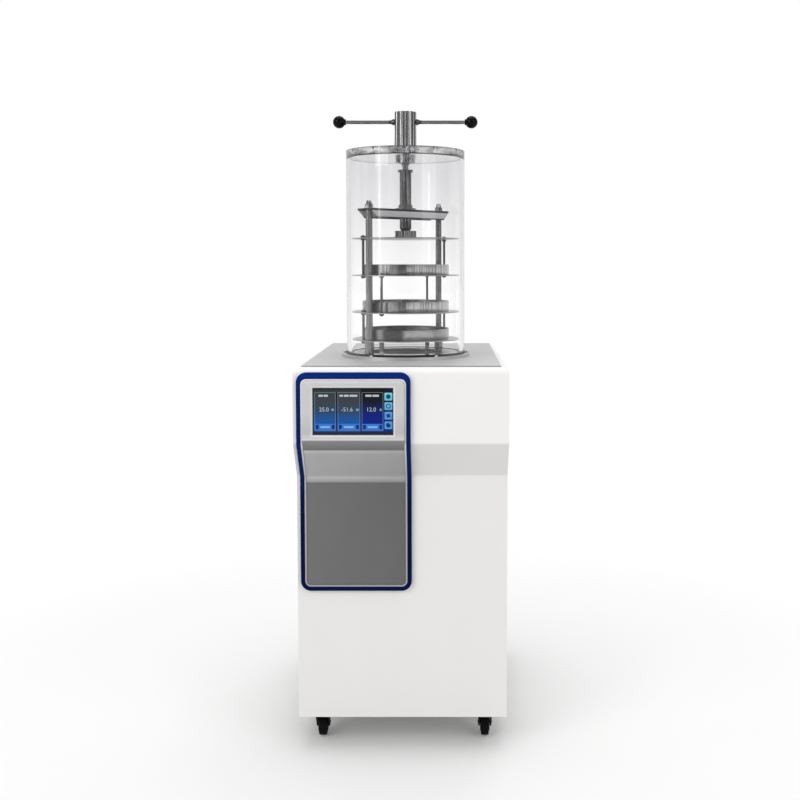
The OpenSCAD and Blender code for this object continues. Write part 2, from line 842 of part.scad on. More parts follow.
// Folded channel between the two posts, with mitred flange ends
module yoke() {
    r = yoke_l / 2;
    color("silver") on_jar_axis(yoke_top) rotate(post_a) difference() {
        translate([0, yoke_w / 2, 0]) rotate([90, 0, 0]) linear_extrude(yoke_w)
            polygon([[-r, 0], [r, 0], [r, -yoke_t], [r - yoke_h + yoke_t, -yoke_h],
                [-r + yoke_h - yoke_t, -yoke_h], [-r, -yoke_t]]);
        translate([-r - 1, -yoke_w / 2 + yoke_t, -yoke_h - 1])
            cube([2 * r + 2, yoke_w - 2 * yoke_t, yoke_h + 1 - yoke_t]);
        translate([0, 0, -yoke_h]) cylinder(r = sleeve_r + run, h = yoke_h + 1);
        for (s = [-1, 1]) translate([s * post_ring, 0, -yoke_h])
            cylinder(r = stud_d / 2 + run, h = yoke_h + 1);
    }
}

module spindle_nut() {
    bore = spindle_d / 2 + run;
    color("silver") on_jar_axis(yoke_top) difference() {
        union() {
            cylinder(r = nut_flange_r, h = 3);
            translate([0, 0, 3])
                cylinder(r1 = nut_flange_r - 2, r2 = spindle_d / 2 + 1.5, h = nut_cone - 3);
            translate([0, 0, -yoke_t - 4]) cylinder(r = sleeve_r, h = yoke_t + 5);
        }
        translate([0, 0, -20]) cylinder(r = bore, h = 50);
    }
}

// A shelf disc with its holes: level 0 is the lowest
module shelf(level) {
    color("silver") on_jar_axis(shelf_z[level]) difference() {
        cylinder(r = shelf_r, h = shelf_t);
        both_ends(post_ring, post_a) translate([0, 0, -1]) cylinder(r = post_d / 2 + slip, h = 9);
        both_ends(rod_ring, rod_a) translate([0, 0, -1]) cylinder(r = rod_d / 2 + run, h = 9, $fn = 24);
        if (level == 1 || level == 2)
            both_ends(rod_ring, rod_b) translate([0, 0, -1])
                cylinder(r = rod_d / 2 + run, h = 9, $fn = 24);
    }
}

// Two rods that carry shelf LEVEL from the shelf above it, each with its three nuts
module hanger_rods(level, a) {
    low = shelf_z[level];
    high = shelf_z[level + 1];
    color("gray") on_jar_axis() both_ends(rod_ring, a) {
        translate([0, 0, low - nut_h - nut_over])
            cylinder(r = rod_d / 2, h = high - low + shelf_t + 2 * (nut_h + nut_over), $fn = 24);
        for (z = [low - nut_h, high - nut_h, high + shelf_t]) translate([0, 0, z]) hex(nut_af, nut_h);
    }
}

module sample_tray(level) {
    bend = 2;
    color("silver") on_jar_axis(shelf_z[level] + shelf_t) rotate_extrude($fn = 96) {
        square([tray_r - bend, tray_t]);
        translate([tray_r - tray_t, bend]) square([tray_t, tray_h - bend - 1]);
        intersection() {
            translate([tray_r - bend, bend]) difference() {
                circle(bend, $fn = 24);
                circle(bend - tray_t, $fn = 24);
            }
            translate([tray_r - bend, 0]) square([bend, bend]);
        }
        translate([tray_r - 1, tray_h - 1]) circle(1, $fn = 16);
    }
}

// ---- Press ----

module thrust_foot() {
    color("silver") on_jar_axis(shelf_z[3] + shelf_t) difference() {
        cylinder(r = foot_r, h = foot_h);
        translate([0, 0, foot_h - journal_h - gap]) cylinder(r = journal_r + run, h = foot_h);
        for (i = [0:15]) rotate(i * 22.5) translate([foot_r + 1.2, 0, -1])
            cylinder(r = 2.4, h = foot_h + 2, $fn = 16);
    }
}

module spindle() {
    r = spindle_d / 2;
    color("gray") on_jar_axis() difference() {
        union() {
            translate([0, 0, spindle_z - journal_h]) cylinder(r = journal_r, h = journal_h + 1);
            translate([0, 0, spindle_z]) cylinder(r1 = r - 3, r2 = r, h = spindle_cone);
            translate([0, 0, spindle_z + spindle_cone])
                cylinder(r = r, h = spindle_top - spindle_z - spindle_cone);
            translate([0, 0, spindle_top - collar_h]) cylinder(r = r + 3.3, h = collar_h);
        }
        translate([0, 0, socket_z]) hex(hex_af + slip, spindle_top - socket_z + 1);
        // keyway on the side of the sleeve
        translate([-key_w / 2, -r - 1, socket_z]) cube([key_w, key_w, key_l]);
    }
}

module lid_gland() {
    color("silver") on_jar_axis() difference() {
        union() {
            translate([0, 0, lid_top]) cylinder(r = hub_d / 2 - 0.5, h = gland_flange);
            difference() {
                translate([0, 0, lid_z]) cylinder(r = gland_r, h = lid_t + 1);
                for (i = [0:gland_ribs - 1])
                    translate(concat(polar(gland_r + rib_r / 2, (i + 0.5) * 360 / gland_ribs), lid_z - 1))
                        cylinder(r = rib_r, h = lid_t + 1, $fn = 16);
            }
        }
        translate([0, 0, lid_z - 1]) cylinder(r = spigot_r + run, h = spigot_h + gap + 1);
        translate([0, 0, lid_z]) cylinder(r = rod_r + run, h = hub_z - lid_z);
    }
}

module gland_nut() {
    color("silver") on_jar_axis(lid_z - packing_h) difference() {
        union() {
            cylinder(r1 = rod_r + packing_tip, r2 = packing_r - 1, h = packing_h - packing_rim);
            translate([0, 0, packing_h - packing_rim]) cylinder(r = packing_r, h = packing_rim);
            translate([0, 0, packing_h - 1]) cylinder(r = spigot_r, h = spigot_h + 1);
        }
        translate([0, 0, -1]) cylinder(r = rod_r + run, h = packing_h + spigot_h + 2);
    }
}

module drive_rod() {
    color("silver") on_jar_axis() {
        translate([0, 0, rod_low]) hex(hex_af, stop_z - rod_low);
        translate([0, 0, stop_z]) cylinder(r = rod_r + 2, h = stop_h);
        translate([0, 0, stop_z]) cylinder(r = rod_r, h = hub_z + 30 - stop_z);
    }
}

module handle_hub() {
    r = hub_d / 2;
    color("silver") on_jar_axis(hub_z) difference() {
        cylinder(r = r, h = hub_h);
        for (i = [0:hub_flutes - 1]) rotate((i + 0.5) * 360 / hub_flutes) translate([r + 1, 0, -1])
            cylinder(r = flute_r, h = hub_h + 2, $fn = 20);
        translate([0, 0, -1]) cylinder(r = rod_r + run, h = 32);
        translate([-r - 1, 0, bar_z - hub_z]) rotate([0, 90, 0])
            cylinder(r = bar_d / 2 + run, h = 2 * r + 2);
        // dished top
        translate([0, 0, hub_h - 2]) cylinder(r1 = 10, r2 = 14, h = 3);
    }
}

module handle_bar() {
    reach = knob_reach - knob_d / 4;
    color("gray") on_jar_axis(bar_z) {
        translate([-reach, 0, 0]) rotate([0, 90, 0]) cylinder(r = bar_d / 2, h = 2 * reach);
        // tapered set collars against the hub
        for (s = [-1, 1]) rotate([0, s * 90, 0]) translate([0, 0, hub_d / 2 + gap])
            cylinder(r1 = bar_d / 2 + 3, r2 = bar_d / 2 + 0.5, h = 6);
    }
}

module ball_knobs() {
    color("black") on_jar_axis(bar_z) for (s = [-1, 1]) difference() {
        translate([s * knob_reach, 0, 0]) union() {
            sphere(d = knob_d);
            rotate([0, -s * 90, 0]) cylinder(r = bar_d / 2 + 2, h = knob_d / 2 + 1);
        }
        rotate([0, s * 90, 0]) cylinder(r = bar_d / 2 + gap, h = knob_reach - knob_d / 4 + gap);
    }
}

// ---- Bell jar ----

module bell_jar() {
    color("azure", 0.3) on_jar_axis(jar_z) ring(jar_r, jar_bore, jar_h);
}

module jar_lid() {
    color("azure", 0.4) on_jar_axis(lid_z) ring(jar_r, gland_r + run, lid_t);
}

// ---- Casters ----

module at_caster(i) {
    translate(concat(caster_spots[i], 0)) children();
}

module caster_plates() {
    color("silver") for (i = [0:3]) at_caster(i) difference() {
        union() {
            translate([-25, -19, caster_h - plate_t]) cube([50, 38, plate_t]);
            translate([0, 0, crown_z + gap]) cylinder(r = 13, h = caster_h - plate_t - crown_z);
        }
        translate([0, 0, crown_z]) cylinder(r = kingpin_r + run, h = caster_h - plate_t - crown_z);
        for (x = [-1, 1], y = [-1, 1]) translate([x * 19, y * 13, caster_h - plate_t - 1])
            cylinder(r = 2.6, h = plate_t + 2, $fn = 24);
    }
}

module caster_fork(i) {
    drop = crown_z - wheel_d / 2;
    color("black") at_caster(i) {
        translate([0, 0, crown_z - 4]) cylinder(r = 17, h = 4);
        translate([0, 0, crown_z - 1])
            cylinder(r = kingpin_r, h = caster_h - plate_t - crown_z + 1 - gap);
        for (s = [-1, 1]) across(s * fork_gap + (s > 0 ? 0 : -fork_t), fork_t) {
            polygon([[-15, crown_z - 2], [17, crown_z - 2],
                [trail + 8, wheel_d / 2], [trail - 8, wheel_d / 2]]);
            translate([trail, wheel_d / 2]) circle(8, $fn = 32);
        }
        translate([-fork_gap - fork_t, -17, crown_z - 4]) cube([2 * (fork_gap + fork_t), 34, 3]);
        translate([-fork_gap - fork_t - 1, trail, wheel_d / 2]) rotate([0, 90, 0])
            cylinder(r = axle_r, h = 2 * (fork_gap + fork_t) + 2, $fn = 32);
    }
}

module caster_wheel(i) {
    r = wheel_d / 2;
    w = wheel_w / 2;
    color("black") at_caster(i) translate([0, trail, r]) rotate([0, 90, 0]) rotate_extrude($fn = 64)
        polygon(concat([[axle_r + run, -w], [r - 8, -w], [r - 7, -w + 1.5], [r - 4, -w + 1.5]],
            [for (a = [-60:20:60]) [r - 4 + 4 * cos(a), (w - 4) * sign(a) + 2.9 * sin(a)]],
            [[r - 4, w - 1.5], [r - 7, w - 1.5], [r - 8, w], [axle_r + run, w]]));
}

// ---- Nodes ----

base_pan();
front_cover();
side_panel(-1);  // side_panel_left
side_panel(1);  // side_panel_right
rear_panel();
top_deck();
chamber_ring();
chamber_gasket();
ring_screws();
cold_trap();
trap_coil();
compressor();
condenser_block();
fan_motor();
fan_rotor();
display_panel();
lower_panel();
panel_trim();
panel_bead();
touch_screen();
control_box();
vacuum_port();
drain_valve();
drain_lever();
power_inlet();
power_switch();
rack_base();
guide_posts();
post_nuts();
yoke();
spindle_nut();
shelf(3);  // shelf_1
shelf(2);  // shelf_2
shelf(1);  // shelf_3
shelf(0);  // shelf_4
hanger_rods(2, rod_a);  // hanger_rods_1
hanger_rods(1, rod_b);  // hanger_rods_2
hanger_rods(0, rod_a);  // hanger_rods_3
sample_tray(2);  // sample_tray_2
sample_tray(1);  // sample_tray_3
sample_tray(0);  // sample_tray_4
thrust_foot();
spindle();
bell_jar();
jar_lid();
lid_gland();
gland_nut();
handle_hub();
drive_rod();
handle_bar();
ball_knobs();
caster_plates();
caster_fork(0);  // caster_fork_fl
caster_fork(1);  // caster_fork_fr
caster_fork(2);  // caster_fork_bl
caster_fork(3);  // caster_fork_br
caster_wheel(0);  // caster_wheel_fl
caster_wheel(1);  // caster_wheel_fr
caster_wheel(2);  // caster_wheel_bl
caster_wheel(3);  // caster_wheel_br
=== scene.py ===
import json
import math

import bmesh
import bpy
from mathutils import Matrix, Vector


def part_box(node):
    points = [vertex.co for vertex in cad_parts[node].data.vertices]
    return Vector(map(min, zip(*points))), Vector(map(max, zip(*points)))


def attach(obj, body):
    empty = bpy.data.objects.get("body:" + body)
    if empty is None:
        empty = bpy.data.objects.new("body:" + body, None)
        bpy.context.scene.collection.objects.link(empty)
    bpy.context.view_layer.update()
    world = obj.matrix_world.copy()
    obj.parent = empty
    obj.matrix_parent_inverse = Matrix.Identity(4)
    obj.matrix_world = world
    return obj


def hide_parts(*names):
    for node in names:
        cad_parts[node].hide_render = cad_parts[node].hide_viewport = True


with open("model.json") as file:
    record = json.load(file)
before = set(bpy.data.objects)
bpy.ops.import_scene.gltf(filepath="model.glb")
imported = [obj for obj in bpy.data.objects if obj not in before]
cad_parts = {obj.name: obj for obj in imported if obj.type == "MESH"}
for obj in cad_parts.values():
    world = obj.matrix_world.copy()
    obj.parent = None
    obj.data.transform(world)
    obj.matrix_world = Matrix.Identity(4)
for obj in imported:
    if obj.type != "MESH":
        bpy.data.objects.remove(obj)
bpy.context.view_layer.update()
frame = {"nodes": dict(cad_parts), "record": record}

record = frame["record"]
bodyOf = {node: body for body, members in record["behaviour"]["bodies"].items() for node in members}
slotOf = {entry["node"]: entry["material_slot"] for entry in record["subparts"]}
scene = bpy.context.scene
mm = 0.001


def middle(node):
    low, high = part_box(node)
    return (low + high) / 2


jarAxis = middle("bell_jar")
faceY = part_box("front_cover")[0].y           # the console's front face
print("frame loaded:", len(frame["nodes"]), "nodes")

# camera and lamps
view = {"aside": 0.0839, "height": 0.9357, "distance": 2.001, "tilt": 3.6, "lens": 49.12, "shift": (-0.058, -0.0862)}
camera = bpy.data.objects.new("camera", bpy.data.cameras.new("camera"))
camera.location = (view["aside"], faceY - view["distance"], view["height"])
camera.rotation_euler = (math.radians(90 - view["tilt"]), 0, 0)
camera.data.lens = view["lens"]
camera.data.shift_x, camera.data.shift_y = view["shift"]
camera.data.clip_start = 0.05
scene.collection.objects.link(camera)
scene.camera = camera
scene.view_settings.view_transform = "Standard"

softboxes = {
    "softboxLeft": {"place": (-2.6, -2.8, 2.4), "aim": (0, 0, 0.7), "size": 2.0, "power": 44},
    "softboxRight": {"place": (2.8, -2.6, 2.0), "aim": (0, 0, 0.7), "size": 2.0, "power": 25},
    "softboxTop": {"place": (0, 0.2, 3.6), "aim": (0, 0, 0.7), "size": 2.6, "power": 33},
    "softboxBack": {"place": (1.2, 3.4, 2.4), "aim": (0, 0, 0.7), "size": 2.2, "power": 28},
}
for name, box in softboxes.items():
    lamp = bpy.data.lights.new(name, "AREA")
    lamp.shape = "SQUARE"
    lamp.size = box["size"]
    lamp.energy = box["power"]
    holder = bpy.data.objects.new(name, lamp)
    holder.location = box["place"]
    holder.rotation_euler = (Vector(box["aim"]) - Vector(box["place"])).to_track_quat("-Z", "Y").to_euler()
    holder.visible_camera = holder.visible_transmission = False
    holder.visible_glossy = name != "softboxBack"
    scene.collection.objects.link(holder)


def calc(tree, operation, first, second):
    node = tree.nodes.new("ShaderNodeMath")
    node.operation = operation
    for socket, value in zip(node.inputs, (first, second)):
        if isinstance(value, bpy.types.NodeSocket):
            tree.links.new(value, socket)
        else:
            socket.default_value = value
    return node.outputs[0]


def mixShaders(tree, factor, first, second):
    mix = tree.nodes.new("ShaderNodeMixShader")
    for socket, value in zip(mix.inputs, (factor, first, second)):
        tree.links.new(value, socket)
    return mix.outputs[0]


# glossy rays see softboxes with darker places between them. Round the object, 0 and 1 are behind it,
# 0.25 is on its left, 0.5 before it and 0.75 on its right; the narrow strip of 5 draws a streak on the jar.
# Through the acrylic the backdrop is a little brighter low down than high up, between the two slopes of "rise"
room = {
    "ambient": 0.66, "tint": (1.0, 0.995, 0.99, 1), "overhead": 0.75, "above": (0.35, 0.8),
    "throughLow": 1.12, "throughHigh": 0.97, "rise": (-0.01, 0.085),
    "around": ((0, 1.15), (0.18, 0.95), (0.26, 0.4), (0.32, 0.9), (0.354, 0.9), (0.358, 5.0), (0.365, 5.0),
               (0.369, 0.9), (0.38, 1.0), (0.43, 0.25), (0.53, 0.22), (0.59, 0.7), (0.65, 0.3), (0.73, 0.45),
               (0.82, 0.95), (1, 1.15)),
}


# three switches, each 0 or 1 for a ray: it sees the backdrop with no reflection on the way, it is a
# reflection, it came through the acrylic
def unreflected(tree):
    path = tree.nodes.new("ShaderNodeLightPath").outputs
    direct = calc(tree, "LESS_THAN", path["Glossy Depth"], 0.5)
    through = calc(tree, "MULTIPLY", path["Is Transmission Ray"], direct)
    return calc(tree, "MAXIMUM", path["Is Camera Ray"], through), path["Is Glossy Ray"], through


def makeRoom():
    world = bpy.data.worlds.new("studio")
    world.use_nodes = True
    tree = world.node_tree
    white = tree.nodes["Background"]
    white.inputs["Color"].default_value = (1, 1, 1, 1)
    lit = tree.nodes.new("ShaderNodeBackground")
    lit.inputs["Color"].default_value = room["tint"]
    lit.inputs["Strength"].default_value = room["ambient"]
    split = tree.nodes.new("ShaderNodeSeparateXYZ")
    tree.links.new(tree.nodes.new("ShaderNodeTexCoord").outputs["Generated"], split.inputs[0])
    turn = calc(tree, "ARCTAN2", split.outputs["X"], calc(tree, "MULTIPLY", split.outputs["Y"], -1))
    ramp = tree.nodes.new("ShaderNodeValToRGB")
    ramp.color_ramp.interpolation = "EASE"
    tree.links.new(ranged(tree, turn, 0, 1, -math.pi, math.pi), ramp.inputs["Fac"])
    setStops(ramp, [(place, (level,) * 3) for place, level in room["around"]])
    above = ranged(tree, split.outputs["Z"], 0, room["overhead"], *room["above"])
    shine = tree.nodes.new("ShaderNodeBackground")
    tree.links.new(calc(tree, "MAXIMUM", ramp.outputs["Color"], above), shine.inputs["Strength"])
    seen, glossy, through = unreflected(tree)
    level = ranged(tree, split.outputs["Z"], room["throughLow"] - 1, room["throughHigh"] - 1, *room["rise"])
    tree.links.new(calc(tree, "ADD", calc(tree, "MULTIPLY", through, level), 1), white.inputs["Strength"])
    lamps = mixShaders(tree, glossy, lit.outputs[0], shine.outputs[0])
    tree.links.new(mixShaders(tree, seen, lamps, white.outputs[0]), tree.nodes["World Output"].inputs["Surface"])
    scene.world = world


def setStops(ramp, stops):
    elements = ramp.color_ramp.elements
    while len(elements) < len(stops):
        elements.new(0.5)
    for element, (place, colour) in zip(elements, stops):
        element.position = place
        element.color = (*colour, 1)


# the floor glows to white away from the object, and keeps its shadow near it; in reflections its glow is
# weaker in front of the object than behind it
ground = {"half": 30, "colour": (0.80, 0.80, 0.80, 1), "lift": 0.08, "near": 0.3, "far": 1.25,
          "mirrored": (0.3, 0.75), "mirroredFrom": -1.6, "mirroredTo": 0.4}


def layFloor():
    mesh = bpy.data.meshes.new("floor")
    half = ground["half"]
    mesh.from_pydata([(-half, -half, 0), (half, -half, 0), (half, half, 0), (-half, half, 0)], [], [(0, 1, 2, 3)])
    floor = bpy.data.objects.new("floor", mesh)
    scene.collection.objects.link(floor)
    mat, tree, shader = newMaterial("paleFloor")
    shader.inputs["Base Color"].default_value = ground["colour"]
    shader.inputs["Roughness"].default_value = 0.9
    shader.inputs["Specular IOR Level"].default_value = 0.1
    coord, axes = coordinates(tree)
    reach = tree.nodes.new("ShaderNodeVectorMath")
    reach.operation = "LENGTH"
    tree.links.new(coord, reach.inputs[0])
    fade = ranged(tree, reach.outputs["Value"], 0, 1, ground["near"], ground["far"])
    seen, glossy, through = unreflected(tree)
    mirrored = ranged(tree, axes["Y"], *ground["mirrored"], ground["mirroredFrom"], ground["mirroredTo"])
    seen = calc(tree, "MAXIMUM", seen, calc(tree, "MULTIPLY", glossy, mirrored))
    shader.inputs["Emission Color"].default_value = (1, 1, 1, 1)
    tree.links.new(calc(tree, "MULTIPLY", seen, ground["lift"]), shader.inputs["Emission Strength"])
    glow = tree.nodes.new("ShaderNodeEmission")
    tree.links.new(ranged(tree, through, 1, room["throughLow"], 0, 1), glow.inputs["Strength"])
    shown = mixShaders(tree, calc(tree, "MULTIPLY", fade, seen), shader.outputs[0], glow.outputs[0])
    tree.links.new(shown, tree.nodes["Material Output"].inputs["Surface"])
    mesh.materials.append(mat)


def newMaterial(name):
    mat = bpy.data.materials.new(name)
    mat.use_nodes = True
    return mat, mat.node_tree, mat.node_tree.nodes["Principled BSDF"]


# the object's own coordinates, whole and split by axis
def coordinates(tree):
    coord = tree.nodes.new("ShaderNodeTexCoord").outputs["Object"]
    split = tree.nodes.new("ShaderNodeSeparateXYZ")
    tree.links.new(coord, split.inputs[0])
    return coord, split.outputs


# noise whose cells measure grain along X, Y and Z, in metres
def noiseAt(tree, coord, grain, detail=3.0):
    mapping = tree.nodes.new("ShaderNodeMapping")
    mapping.inputs["Scale"].default_value = [1 / g for g in grain]
    tree.links.new(coord, mapping.inputs["Vector"])
    noise = tree.nodes.new("ShaderNodeTexNoise")
    noise.inputs["Scale"].default_value = 1
    noise.inputs["Detail"].default_value = detail
    tree.links.new(mapping.outputs[0], noise.inputs["Vector"])
    return noise.outputs["Fac"]


def ranged(tree, value, low, high, start=0.3, end=0.7):
    span = tree.nodes.new("ShaderNodeMapRange")
    for key, number in (("From Min", start), ("From Max", end), ("To Min", low), ("To Max", high)):
        span.inputs[key].default_value = number
    tree.links.new(value, span.inputs["Value"])
    return span.outputs[0]


def blended(tree, factor, first, second, mode="MIX"):
    mix = tree.nodes.new("ShaderNodeMix")
    mix.data_type = "RGBA"
    mix.blend_type = mode
    for key, value in (("Factor", factor), ("A", first), ("B", second)):
        if isinstance(value, bpy.types.NodeSocket):
            tree.links.new(value, mix.inputs[key])
        else:
            mix.inputs[key].default_value = value if key == "Factor" else (*value, 1)
    return mix.outputs["Result"]


# tone along an axis: the stops hold places in metres and tones, which are multiplied by the tint
def toneAlong(tree, axis, stops, tint=(1, 1, 1)):
    low, high = stops[0][0], stops[-1][0]
    ramp = tree.nodes.new("ShaderNodeValToRGB")
    tree.links.new(ranged(tree, axis, 0, 1, low, high), ramp.inputs["Fac"])
    setStops(ramp, [((place - low) / (high - low), [tone * t for t in tint]) for place, tone in stops])
    return ramp.outputs["Color"]


def addBump(tree, shader, height, depth, strength=0.5):
    bump = tree.nodes.new("ShaderNodeBump")
    bump.inputs["Strength"].default_value = strength
    bump.inputs["Distance"].default_value = depth
    tree.links.new(height, bump.inputs["Height"])
    tree.links.new(bump.outputs[0], shader.inputs["Normal"])


makeRoom()
layFloor()
print("camera, lamps and floor set")

bandEdges = (0.42, 0.58)                     # values of the noise between which a stripe fades in


# colour and roughness vary in soft clouds; streak darkens along the grain, band in broader stripes, across in zones of
# painted light and shade along one axis; the grain is in the bump too. The sizes of cloud, grain and band are in
# millimetres
def makeFinish(name, look):
    mat, tree, shader = newMaterial(name)
    coord, axes = coordinates(tree)
    shader.inputs["Metallic"].default_value = look.get("metallic", 0)
    shader.inputs["Coat Weight"].default_value = look.get("coat", 0)
    shader.inputs["Coat Roughness"].default_value = look.get("coatRoughness", 0.1)
    shader.inputs["Specular IOR Level"].default_value = look.get("gloss", 0.5)
    cloud = noiseAt(tree, coord, [size * mm for size in look.get("cloud", (90, 90, 90))])
    grain = noiseAt(tree, coord, [size * mm for size in look["grain"]])
    colour = look["colour"]
    dull = tuple(c * look.get("shade", 0.95) for c in colour)
    tone = blended(tree, ranged(tree, cloud, 0, 1), dull, colour)
    if "streak" in look:
        dark = (1 - look["streak"],) * 3
        tone = blended(tree, ranged(tree, grain, 0, 1), tone, dark, "MULTIPLY")
    if "across" in look:
        level = toneAlong(tree, axes[look.get("axis", "X")], look["across"])
        tone = blended(tree, 1.0, tone, level, "MULTIPLY")
    if "band" in look:
        stripe = noiseAt(tree, coord, [size * mm for size in look["bandSize"]], 1)
        dark = (1 - look["band"],) * 3
        tone = blended(tree, ranged(tree, stripe, 0, 1, *bandEdges), tone, dark, "MULTIPLY")
    tree.links.new(tone, shader.inputs["Base Color"])
    rough, spread = look["roughness"], look.get("spread", 0.06)
    varied = calc(tree, "ADD", ranged(tree, cloud, rough - spread, rough), ranged(tree, grain, 0, spread))
    tree.links.new(varied, shader.inputs["Roughness"])
    addBump(tree, shader, grain, look["depth"] * mm)
    return mat
